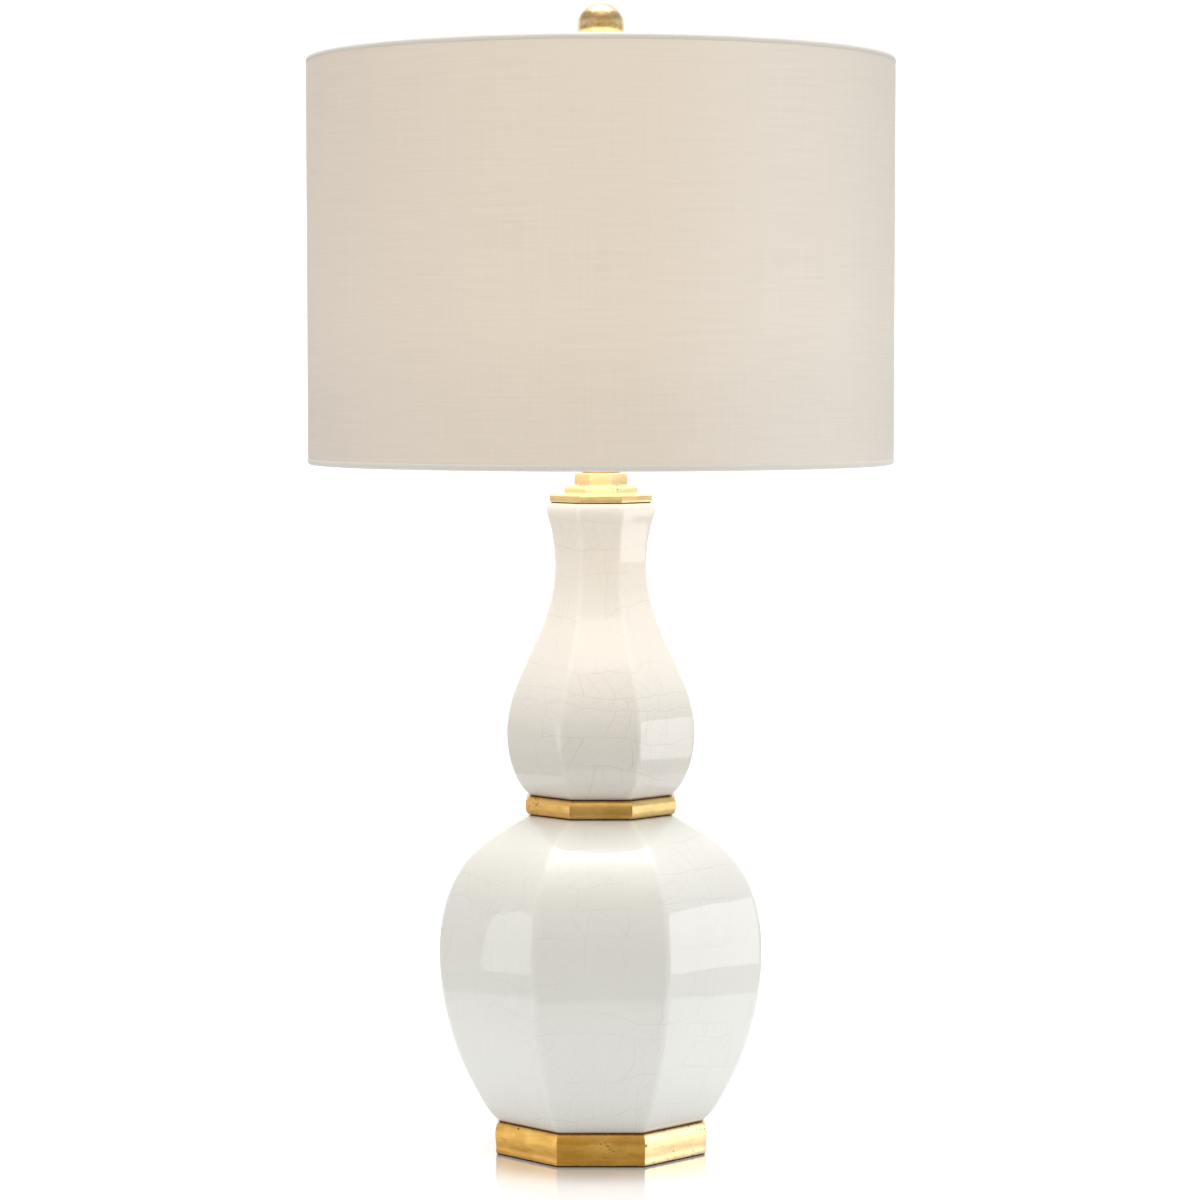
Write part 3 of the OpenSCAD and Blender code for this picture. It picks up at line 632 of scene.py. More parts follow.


# one glaze: the gourd's copy is paler and warmer than the jar's, painted light from the lit shade just above it
M_GLAZE_JAR = glaze("glaze_jar", (0.728, 0.716, 0.680), (0.728, 0.716, 0.680), (0.42, 0.38, 0.32), 0.2, 0.105, 0.025, 0.27)
M_GLAZE_GOURD = glaze("glaze_gourd", (0.768, 0.732, 0.686), (0.786, 0.724, 0.658), (0.46, 0.37, 0.31), 1.33, 0.058, 0.023, 0.36,
                      (0.33, 0.45))
D = math.sqrt(0.5)
# painted light and shade on the plinth: the front-right face pale, the front and back deep, and darker toward its
# bottom
M_GOLD = gold_leaf("gold_leaf", faces=(
    (0, -1, (0.48, 0.245, 0.030), 0.50), (D, -D, (0.955, 0.77, 0.45), 0.75), (-D, -D, (0.83, 0.47, 0.115), 0.45),
    (1, 0, (0.66, 0.38, 0.07), 0.5), (-1, 0, (0.40, 0.20, 0.03), 0.4), (0, 1, (0.36, 0.19, 0.03), 0.4),
    (D, D, (0.74, 0.45, 0.12), 0.5), (-D, D, (0.50, 0.27, 0.04), 0.4)),
    steps=((0.0150, 0.0030, (0.80, 0.72, 0.55), 1.0),))
# painted light and shade on the band: each face tinted paler or deeper by the way it faces the light
M_GOLD_BAND = gold_leaf("gold_leaf_band", (0.58, 0.335, 0.075), (0.80, 0.52, 0.17), (0.34, 0.175, 0.030), seed=0.6, faces=(
    (0, -1, (0.68, 0.42, 0.11), 0.5), (D, -D, (0.74, 0.575, 0.255), 0.7), (-D, -D, (0.93, 0.58, 0.18), 0.7),
    (1, 0, (0.60, 0.38, 0.12), 0.5), (-1, 0, (0.46, 0.26, 0.06), 0.4), (0, 1, (0.50, 0.28, 0.06), 0.4)), satin=0.10)
# painted light: the cap and collar take a paler copy of the leaf, as lit from the shade above; faces tinted by how they
# face the light, and above the first tier painted darker and bluer as painted shade
M_GOLD_PALE = gold_leaf("gold_leaf_cap", (0.80, 0.54, 0.20), (0.88, 0.66, 0.31), (0.56, 0.30, 0.06), seed=0.35, faces=(
    (0, -1, (1.0, 0.75, 0.36), 0.65), (D, -D, (0.97, 0.80, 0.45), 0.50), (-D, -D, (0.98, 0.75, 0.36), 0.55), (-1, 0, (0.66, 0.40, 0.12), 0.4), (0, 1, (0.66, 0.40, 0.12), 0.4)),
    steps=((0.4880, 0.4884, (0.50, 0.46, 0.56), 1.0),), cloud=0.3)
# painted highlight: the top of the ball is whitened, and a band below it is darkened as a painted dark reflection
M_GOLD_BALL = gold_leaf("gold_leaf_ball", (0.67, 0.47, 0.165), (0.91, 0.70, 0.41), (0.35, 0.215, 0.057), seed=0.8, grain=2.2, stretch=1.4, spread=0.6, satin=-0.06, coat=0.8,
                        steps=((0.8305, 0.8350, (0.53, 0.46, 0.34), 1.0), (0.8376, 0.8408, (1.9, 2.2, 3.3), 1.0)))
LINEN_TONE = (0.716, 0.656, 0.590)
# painted light and shade on the cloth: greyer at the left, cooler at the right, darker at the right edge and toward the
# bottom
M_LINEN = linen("linen", LINEN_TONE, painted_shading=(
    (0, -0.03, -0.19, (0.962, 0.962, 0.985)), (0, 0.01, 0.13, (1.018, 1.050, 1.095)), (0, 0.160, 0.214, (0.945, 0.940, 0.925)),
    (2, 0.625, 0.530, (0.93, 0.935, 0.945))))
# the rolled edges take a darker, greyer copy of the linen with a weaker painted glow: painted shade where the cloth
# rolls over the wire
M_LINEN_HEM = linen("linen_edge", (0.740, 0.722, 0.695), 1.0, seed=0.4, glow=0.09)
M_LINING = plain("white_lining", (0.84, 0.83, 0.79), 0.55, grain=90.0, vary=0.02, bump=0.04)
M_BRASS = brass("lacquered_brass")
M_BRASS_WIRE = brass("brass_wire", (0.74, 0.53, 0.25), 0.28, seed=0.2)
M_BRASS_SHELL = brass("spun_brass", (0.76, 0.55, 0.26), 0.22, seed=0.5, brush=(1, 1, 12))
M_STEEL = plain("zinc_plate", (0.55, 0.55, 0.53), 0.36, 1.0, 260.0, 0.15)
M_NICKEL = plain("nickel_plate", (0.66, 0.65, 0.62), 0.26, 1.0, 200.0, 0.08, 0.06)
M_PHENOLIC = plain("moulded_dark", (0.035, 0.030, 0.026), 0.42, 0.0, 500.0, 0.2)
M_KNOB = plain("moulded_knob", (0.028, 0.020, 0.016), 0.28, 0.0, 420.0, 0.2, 0.05, coat=0.4)
M_FIBRE = plain("pressed_fibre", (0.50, 0.42, 0.30), 0.75, 0.0, 420.0, 0.15)
M_GASKET = plain("gasket_brown", (0.12, 0.050, 0.020), 0.8, 0.0, 380.0, 0.3, spec=0.1)
M_FELT = plain("dense_felt", (0.040, 0.033, 0.028), 0.97, 0.0, 900.0, 0.45, 0.8, spec=0.15, depth=0.0008)
M_BUSH = plain("moulded_bushing", (0.030, 0.028, 0.026), 0.35, 0.0, 400.0, 0.2)
M_WELD = brass("brazed_joint", (0.60, 0.42, 0.20), 0.42, seed=0.9, dull=0.6)


def bulb_glass_material():
    g = Mat("coated_glass", Roughness=0.30, IOR=1.5, Coat_Weight=0.6, Coat_Roughness=0.05,
            Subsurface_Weight=0.0)
    co = g.obj()
    a = g.noise(co, 40.0, 3.0, 0.5)
    col = g.mix(g.remap(a, 0.3, 0.7), (0.86, 0.86, 0.83), (0.80, 0.80, 0.77))
    return g.finish(Base_Color=col, Normal=g.bump(g.noise(co, 900.0, 2.0, 0.5), 0.04, 0.0001))


M_BULB = bulb_glass_material()

# ------------------------------------------------------------------ ceramic body

JAR = [(0, 75), (2.8, 78.4), (6.6, 81.8), (14.8, 86.7), (26, 92.6), (40, 99.4), (56, 105.8), (74, 111.1),
       (94, 115.4), (118, 117.8), (142, 117.3), (162, 113.9), (177, 108.9), (190, 101.5), (201, 91.9),
       (209, 81.6), (215, 71.8), (220.2, 62), (223, 56.6), (225.2, 52.4)]
GOURD = [(0, 51.6), (2, 54.2), (5, 57), (11, 60.8), (19, 64.2), (30, 67.3), (44, 68.8), (58, 68.2), (72, 65.3),
         (86, 60.2), (101, 53.4), (116, 46.6), (130, 40.9), (143, 36.8), (156, 34.5), (170, 33.5), (182, 34.1),
         (193, 35.6), (202, 37.8), (207.5, 39.6), (211, 40.4), (213.6, 40.2), (215, 39.2)]


def ceramic(name, points, z0, mouth0, mouth1, corner, wave, seed, mat, body, node, sigma):
    """Eight-sided thrown-and-pressed vessel with a wall, rounded arrises and slightly uneven faces."""
    b = Build()
    prof = [(z + z0, a) for z, a in faired(points, 1.0, sigma, 2.4)]
    nf, nc = 10, 8
    z_top = prof[-1][0]
    height = z_top - z0
    rings, near, run = [], [], []
    length = 0.0

    def uneven(x, y, z):
        s = smooth(z, z0, z0 + 14) * (1 - smooth(z, z_top - 10, z_top))
        return s * (wave * n3(x * 0.016, y * 0.016, z * 0.013, seed)
                    + wave * 0.35 * n3(x * 0.045, y * 0.045, z * 0.04, seed + 3))

    for z, a in prof:
        r = corner * (0.75 + 0.25 * math.sin(math.pi * clamp((z - z0) / height)))
        pts, nr = octa(a, z, r, nf, nc)
        rings.append(outward(pts, uneven))
        near.append(nr)
        if run:
            length += math.dist(last, (z, a))
        last = (z, a)
        run.append(length)
    # lip inwards, wall down inside, floor
    a1 = prof[-1][1]
    for a, z, r in ((a1 - 1.2, z_top, corner * 0.6), (mouth1 + 2.5, z_top, mouth1 + 2), (mouth1, z_top - 0.8, mouth1)):
        pts, nr = octa(a, z, r, nf, nc)
        rings.append(pts)
        near.append([0.0] * len(nr))
    inner = [(z, a - 6.4) for z, a in prof if z0 + 9 < z < z_top - 8][::-6]
    for z, a in [(z_top - 6, mouth1)] + inner:
        pts, nr = octa(max(a, mouth0), z, corner * 1.2, nf, nc)
        rings.append(pts)
        near.append([0.0] * len(nr))
    a_in = inner[-1][1]
    for a, z, r in ((a_in - 6, z0 + 7, 10), (mouth0, z0 + 6.5, mouth0), (mouth0, z0, mouth0)):
        pts, nr = octa(a, z, r, nf, nc)
        rings.append(pts)
        near.append([0.0] * len(nr))
    run += [length] * (len(rings) - len(run))
    b.loft(rings, loop=True, attrs={"corner": near, "run": run})
    return b.done(name, mat, body, [node], sharp=60)


ceramic("lower_jar_glazed", JAR, JAR_Z0, 7, 30, 9.0, 0.26, 1.0, M_GLAZE_JAR, "base", "lower_jar", 5.0)
ceramic("upper_gourd_glazed", GOURD, GOURD_Z0, 30, 23, 6.0, 0.20, 5.0, M_GLAZE_GOURD, "base", "upper_gourd", 3.2)

# ------------------------------------------------------------------ gilded mouldings


def moulding(name, prof, node, mat, corner=0.9, hole=5.3, worn_rings=(), seed=0.0, nf=14, nc=5, rough=0.10,
             extra=None, body="base", wear_all=0.0):
    """Eight-sided gilded moulding. prof: (z, half width) from the bottom's inner edge round to the top's.
    worn_rings: heights where the leaf is thin."""
    b = Build()
    rings, wear = [], []

    def uneven(x, y, z):
        return (rough * n3(x * 0.06, y * 0.06, z * 0.09, seed)
                + rough * 0.5 * n3(x * 0.22, y * 0.22, z * 0.3, seed + 2))

    for z, a in prof:
        r = corner if a > corner * 3 and a > hole + 6 else a
        pts, nr = octa(a, z, r, nf, nc)
        rings.append(outward(pts, uneven) if a > hole + 6 else pts)
        ring_wear = max([clamp(1 - abs(z - wz) / ww) * k for wz, ww, k in worn_rings] + [0.0])
        wear.append([clamp(max(ring_wear, 0.50 * n) + wear_all) for n in nr])
    b.loft(rings, loop=True, attrs={"wear": wear})
    if extra:
        extra(b)
    return b.done(name, mat, body, [node], sharp=50)


def fine(points, r=0.4, k=3, step=None):
    p = fillet(points, r, k)
    return p


plinth_side = [(1.2, -0.9), (2.4, -0.62), (4.0, -0.55), (5.8, -0.70), (7.6, -0.60), (10.4, -0.28), (13.2, -0.05),
               (15.6, 0), (18.4, -0.2), (21, -0.8), (23, -1.6)]
plinth_side = [(z, PLINTH_A + d) for z, d in plinth_side]
plinth_curve = resample(spline(plinth_side, 6), 0.9)
plinth_prof = ([(15.0, 5.3), (15.0, 60.0), (15.0, 64.0), (1.9, 64.0), (1.2, 64.6), (1.2, PLINTH_A - 1.6)] + plinth_curve
               + [(23.6, PLINTH_A - 2.0), (24.05, PLINTH_A - 2.6), (24.2, PLINTH_A - 3.4), (24.2, 40.0), (24.2, 5.3)])
moulding("plinth_gilded", plinth_prof, "plinth", M_GOLD, 0.9,
         worn_rings=((23.9, 0.9, 0.98), (1.2, 1.1, 0.95), (2.8, 2.2, 0.52), (22.0, 2.0, 0.40)), seed=1.0)

band_half = [(0.0, -3.3), (0.35, -2.4), (1.0, -1.55), (2.0, -0.85), (3.4, -0.25), (5.2, -0.03), (6.7, 0.0)]
w = BAND_A
band_prof = ([(BAND_Z0 - 4, 5.3), (BAND_Z0 - 4, 28.0), (BAND_Z0 - 3.6, 28.5), (BAND_Z0, 28.5)]
             + [(BAND_Z0 + z, w + d) for z, d in resample(spline(band_half, 4), 0.7)]
             + [(BAND_Z1 - z, w + d) for z, d in resample(spline(band_half, 4), 0.7)[::-1][1:]]
             + [(BAND_Z1, 28.5), (BAND_Z1 + 3.6, 28.5), (BAND_Z1 + 4, 28.0), (BAND_Z1 + 4, 5.3)])
moulding("waist_band_gilded", band_prof, "waist_band", M_GOLD_BAND, 0.8,
         worn_rings=((BAND_Z0, 0.9, 0.95), (BAND_Z1, 0.9, 0.95)), seed=4.0)

cap_side = ([(CAP_Z0 - 5, 5.3), (CAP_Z0 - 5, 21.6), (CAP_Z0 - 4.5, 22.2), (CAP_Z0, 22.2)]
            + fine([(CAP_Z0, 30), (CAP_Z0, CAP_A - 0.3), (CAP_Z0 + 1.1, CAP_A - 0.05), (CAP_1 - 0.9, CAP_A - 0.1),
                    (CAP_1, CAP_A - 0.5), (CAP_1 + 0.15, 27.0), (CAP_1 + 0.6, 26.9), (CAP_2 - 2.0, 26.5),
                    (CAP_2 - 0.2, 25.7), (CAP_2, 24.6), (CAP_2 + 0.1, 19.6), (CAP_2 + 0.6, 19.45),
                    (CAP_Z1 - 0.9, 19.1), (CAP_Z1, 18.5), (CAP_Z1, 12.0)], 0.32, 3) + [(CAP_Z1, 5.3)])
moulding("stepped_cap_gilded", cap_side, "stepped_cap", M_GOLD_PALE, 0.45,
         worn_rings=((CAP_Z0, 0.6, 0.95), (CAP_1 + 0.35, 0.45, 0.85), (CAP_2 + 0.35, 0.45, 0.85)), seed=7.0, rough=0.08)

collar_side = ([(CAP_Z1, 5.3)] + fine([(CAP_Z1, 11), (CAP_Z1, 13.7), (CAP_Z1 + 0.7, 14.3), (COLLAR_Z1 - 0.9, 14.2),
                                        (COLLAR_Z1, 13.3), (COLLAR_Z1, 8)], 0.5, 3) + [(COLLAR_Z1, 5.3)])
moulding("neck_collar_gilded", collar_side, "neck_collar", M_GOLD_PALE, 0.6,
         worn_rings=((CAP_Z1, 0.5, 0.9),), seed=9.0, rough=0.06)

# ------------------------------------------------------------------ finial


def finial():
    b = Build()
    n = 72
    z_cut = BALL_Z - math.sqrt(BALL_R ** 2 - 49)
    a0 = math.asin((z_cut - BALL_Z) / BALL_R)
    rings, wear = [], []
    rings.append(circle(4.1, z_cut + 5.2, n)); wear.append(0.0)
    rings.append(circle(4.1, z_cut, n)); wear.append(0.0)
    for k in range(41):
        t = a0 + (math.pi / 2 - 0.02 - a0) * k / 40
        ring = []
        for x, y, z in circle(BALL_R * math.cos(t), BALL_Z + BALL_R * math.sin(t), n):
            d = Vector((x, y, z - BALL_Z)).normalized()
            bump = 0.055 * n3(d.x * 2.2, d.y * 2.2, d.z * 2.2, 3) + 0.03 * n3(d.x * 7, d.y * 7, d.z * 7, 6) - 0.06
            ring.append((x + d.x * bump, y + d.y * bump, z + d.z * bump))
        rings.append(ring)
        wear.append(0.35 if k < 2 else 0.12)
    b.loft(rings, cap0=True, cap1=True, attrs={"wear": wear})
    b.done("finial_ball_gilded", M_GOLD_BALL, "finial", ["finial_ball"], sharp=60)

    b = Build()
    top = z_cut
    t = top - NUT_Z
    prof = [(4.1, 0.3), (5.6, 0.3), (6.0, 0.7), (6.0, 2.1), (5.55, 2.7), (5.05, 3.7), (4.95, 6.0), (5.05, t - 6.2),
            (5.5, t - 4.0), (6.3, t - 2.5), (6.95, t - 1.7), (7.0, t - 1.0), (6.85, t - 0.3), (6.6, t - 0.12),
            (3.9, t - 0.1), (3.9, t + 4.9)]
    prof = [(r, NUT_Z + z) for r, z in fillet(prof, 0.35, 3)]
    wear = [0.62 if abs(z - NUT_Z - 0.5) < 0.5 or abs(z - top + 1.2) < 0.6 else 0.2 for r, z in prof]
    b.loft([circle(4.1, NUT_Z + 13, 48)] + [circle(r, z, 48) for r, z in prof],
           cap0=True, cap1=True, attrs={"wear": [0.0] + wear})
    b.done("finial_neck_gilded", M_GOLD_BALL, "finial", ["finial_neck"], sharp=45)


finial()

# ------------------------------------------------------------------ shade

SEG = 256
TURN = math.radians(90)


def around(r, z, n=SEG, wob=None):
    """Ring that starts at the back; wob adds to the radius at an angle."""
    out = []
    for k in range(n):
        t = TURN + TAU * k / n
        rr = r + (wob(t) if wob else 0.0)
        out.append((rr * math.cos(t), rr * math.sin(t), z))
    return out


def sag(t, z):
    """The drum is a touch out of true, as a rolled lining is."""
    return 0.22 * n3(math.cos(t) * 1.1, math.sin(t) * 1.1, z * 0.004, 2.0) - 0.25


def shade_cover():
    b = Build()
    z0, z1 = SHADE_Z0 + ROLL - 0.3, SHADE_Z1 - ROLL + 0.3
    steps = 40
    outer, inner, uo, ui = [], [], [], []
    for k in range(steps + 1):
        z = lerp(z0, z1, k / steps)
        # the linen dips where the rolled edge holds it
        near = max(1 - abs(z - z0) / 3.0, 1 - abs(z - z1) / 3.0, 0.0)
        outer.append(around(SHADE_R - 0.12 - 0.22 * near * near, z, wob=lambda t, z=z: sag(t, z)))
        uo.append([(TAU * j / SEG * SHADE_R, z) for j in range(SEG + 1)])
    for k in range(steps + 1):
        z = lerp(z1, z0, k / steps)
        inner.append(around(SHADE_R - 0.72, z, wob=lambda t, z=z: sag(t, z)))
        ui.append([(TAU * j / SEG * SHADE_R, 2 * z1 - z + 5) for j in range(SEG + 1)])
    b.loft(outer + inner, loop=True, uvs=uo + ui)
    # overlapped seam at the back: the outer end of the cloth lies over the inner one, glued, edge turned under
    half = 6.0
    for side, lift in ((1, 0.42),):
        rings, uvr = [], []
        for k in range(steps + 1):
            z = lerp(z0 + 0.2, z1 - 0.2, k / steps)
            ring = []
            for s, h in ((-half, -0.1), (-half + 0.3, lift * 0.75), (-half + 0.9, lift), (0, lift * 0.95),
                         (half - 1.5, lift * 0.55), (half, 0.1), (half, -0.12)):
                wig = 0.25 * n3(s * 0.05, 0, z * 0.03, 8)
                t = TURN + (s + wig) / SHADE_R
                rr = SHADE_R - 0.15 + h + sag(t, z)
                ring.append((rr * math.cos(t), rr * math.sin(t), z))
            rings.append(ring)
            uvr.append([(s + 40, z + 3) for s in (-half, -half + 0.3, -half + 0.9, 0, half - 1.5, half, half, half)])
        b.loft(rings, closed=True, cap0=True, cap1=True, uvs=uvr)
    return b.done("shade_linen", M_LINEN, "shade", ["shade_fabric"], uv=True, sharp=50)


def shade_edge(name, node, top):
    """Linen turned over the wire and glued down inside, with small puckers on the inside leg."""
    b = Build()
    zc = SHADE_Z1 - ROLL if top else SHADE_Z0 + ROLL
    up = 1 if top else -1
    hem = 0.7
    n = 320
    prof = [(ROLL - 0.28, -1.5), (ROLL - 0.10, -1.25), (ROLL - 0.02, -0.8)]
    prof += [(ROLL * math.cos(math.radians(a)), ROLL * math.sin(math.radians(a))) for a in range(0, 181, 12)]
    prof += [(-ROLL, -3.0), (-ROLL, -7.6), (-ROLL + hem * 0.7, -7.6), (-ROLL + hem, -3.0)]
    prof += [((ROLL - hem) * math.cos(math.radians(a)), (ROLL - hem) * math.sin(math.radians(a)))
             for a in range(180, -1, -20)]
    prof += [(ROLL - hem, -1.2)]
    run = [0.0]
    for p, q in zip(prof, prof[1:]):
        run.append(run[-1] + math.dist(p, q))
    rings, uvs = [], []
    for i, (x, y) in enumerate(prof):
        ring = []
        for k in range(n):
            t = TURN + TAU * k / n
            c, s = math.cos(t), math.sin(t)
            lump = 0.10 * n3(c * 30, s * 30, i * 0.12, 11) + 0.07 * n3(c * 75, s * 75, i * 0.2, 12)
            wave_z = 0.16 * n3(c * 9, s * 9, 0, 13)
            pucker = 0.30 * n3(c * 55, s * 55, 1.0, 14) if y < -2 else 0.0
            if y < -6:
                wave_z += 0.55 * n3(c * 16, s * 16, 3.0, 15)
            if y < -1 and x > 0:
                wave_z += 0.22 * n3(c * 14, s * 14, 5.0, 16)
            rr = SHADE_R - ROLL + x - 0.16 + (lump if y > -1 else lump * 0.3) * (0.6 if x > 0 else 1.0) - abs(pucker) * 0.5
            z = zc + up * min(y + wave_z * (0.5 if y > ROLL * 0.6 else 1), ROLL)
            ring.append((rr * c, rr * s, z))
        rings.append(ring if top else ring)
        uvs.append([(TAU * j / n * SHADE_R, run[i]) for j in range(n + 1)])
    if not top:
        rings, uvs = rings[::-1], uvs[::-1]
    b.loft(rings[::-1], loop=True, uvs=uvs[::-1])
    return b.done(name, M_LINEN_HEM, "shade", [node], uv=True, sharp=60)


def shade_inside():
    b = Build()
    z0, z1 = SHADE_Z0 + 3.2, SHADE_Z1 - 3.2
    rings = []
    for k in range(13):
        z = lerp(z0, z1, k / 12)
        rings.append(around(SHADE_R - 0.80, z, wob=lambda t, z=z: sag(t, z)))
    for k in range(13):
        z = lerp(z1, z0, k / 12)
        rings.append(around(SHADE_R - 1.35, z, wob=lambda t, z=z: sag(t, z)))
    b.loft(rings, loop=True)
    # lap of the lining at the back
    lap = []
    for k in range(13):
        z = lerp(z0, z1, k / 12)
        ring = []
        for s, h in ((-9, 0.02), (-9, 0.42), (7, 0.42), (9, 0.02)):
            t = TURN + math.radians(4) + s / SHADE_R
            rr = SHADE_R - 1.33 - h + sag(t, z)
            ring.append((rr * math.cos(t), rr * math.sin(t), z))
        lap.append(ring)
    b.loft([r[::-1] for r in lap], cap0=True, cap1=True)
    b.done("shade_lining", M_LINING, "shade", ["shade_liner"], sharp=40)


def shade_wires():
    for name, node, z in (("ring_top_wire", "shade_ring_top", SHADE_Z1 - 3.8),
                          ("ring_bottom_wire", "shade_ring_bottom", SHADE_Z0 + 3.8)):
        b = Build()
        tube(b, around(SHADE_R - 3.35, z, 192), 1.78, 12, closed=True)
        b.done(name, M_BRASS_WIRE, "shade", [node])
    b = Build()
    arm_z = HUB_Z + 1.2 + 1.6
    bend, end = SHADE_R - 16, SHADE_R - 3.35 - 1.9
    ring_z = SHADE_Z1 - 3.8
    for a in (90, 210, 330):
        c, s = math.cos(math.radians(a)), math.sin(math.radians(a))
        path = []
        for r, z in spline([(7.2, arm_z), (40, arm_z), (110, arm_z), (bend - 14, arm_z), (bend - 3, arm_z + 0.25),
                            (bend + 3, arm_z + 1.7), (end - 3, ring_z - 1.6), (end + 0.6, ring_z)], 6):
            path.append((r * c, r * s, z))
        rad = [1.6 if math.hypot(x, y) > 12 else 1.6 for x, y, z in path]
        tube(b, path, rad, 14, mat=0)
        # brazing at the ring and on the washer
        for r, z, big, tall in ((end + 0.9, ring_z, 1.9, 1.7), (11.3, HUB_Z + 1.5, 3.0, 1.2)):
            rings = []
            for i in range(9):
                t = math.pi * i / 8
                ring = []
                for k in range(16):
                    q = TAU * k / 16
                    lump = 1 + 0.08 * n3(k * 0.8, i * 0.8, a, 4)
                    u = (r + big * 1.1 * math.sin(t) * math.cos(q) * lump)
                    v = big * math.sin(t) * math.sin(q) * lump
                    ring.append((u * c - v * s, u * s + v * c, z - tall * math.cos(t)))
                rings.append(ring)
            b.loft(rings[1:-1], cap0=True, cap1=True, mat=1)
    b.done("spider_arm_wires", [M_BRASS_WIRE, M_WELD], "shade", ["spider_arms"], sharp=50)
    b = Build()
    prof = fillet([(3.5, 0.6), (3.5, 0.0), (14, 0.0), (14, 1.2), (3.5, 1.2), (3.5, 0.6)], 0.25, 3)
    rings = [circle(r, HUB_Z + z, 64) for r, z in prof[:-1]]
    b.loft(rings, loop=True)
    b.done("spider_washer", M_BRASS, "shade_hub", ["spider_hub"], sharp=40)


cover = shade_cover()
edges = [shade_edge("shade_edge_top", "shade_trim_top", True),
         shade_edge("shade_edge_bottom", "shade_trim_bottom", False)]
shade_inside()
# one strip round the drum with a 12 mm lap at the back; the edges are turned over the rings as bindings
shade_wires()

# ------------------------------------------------------------------ harp and its saddle


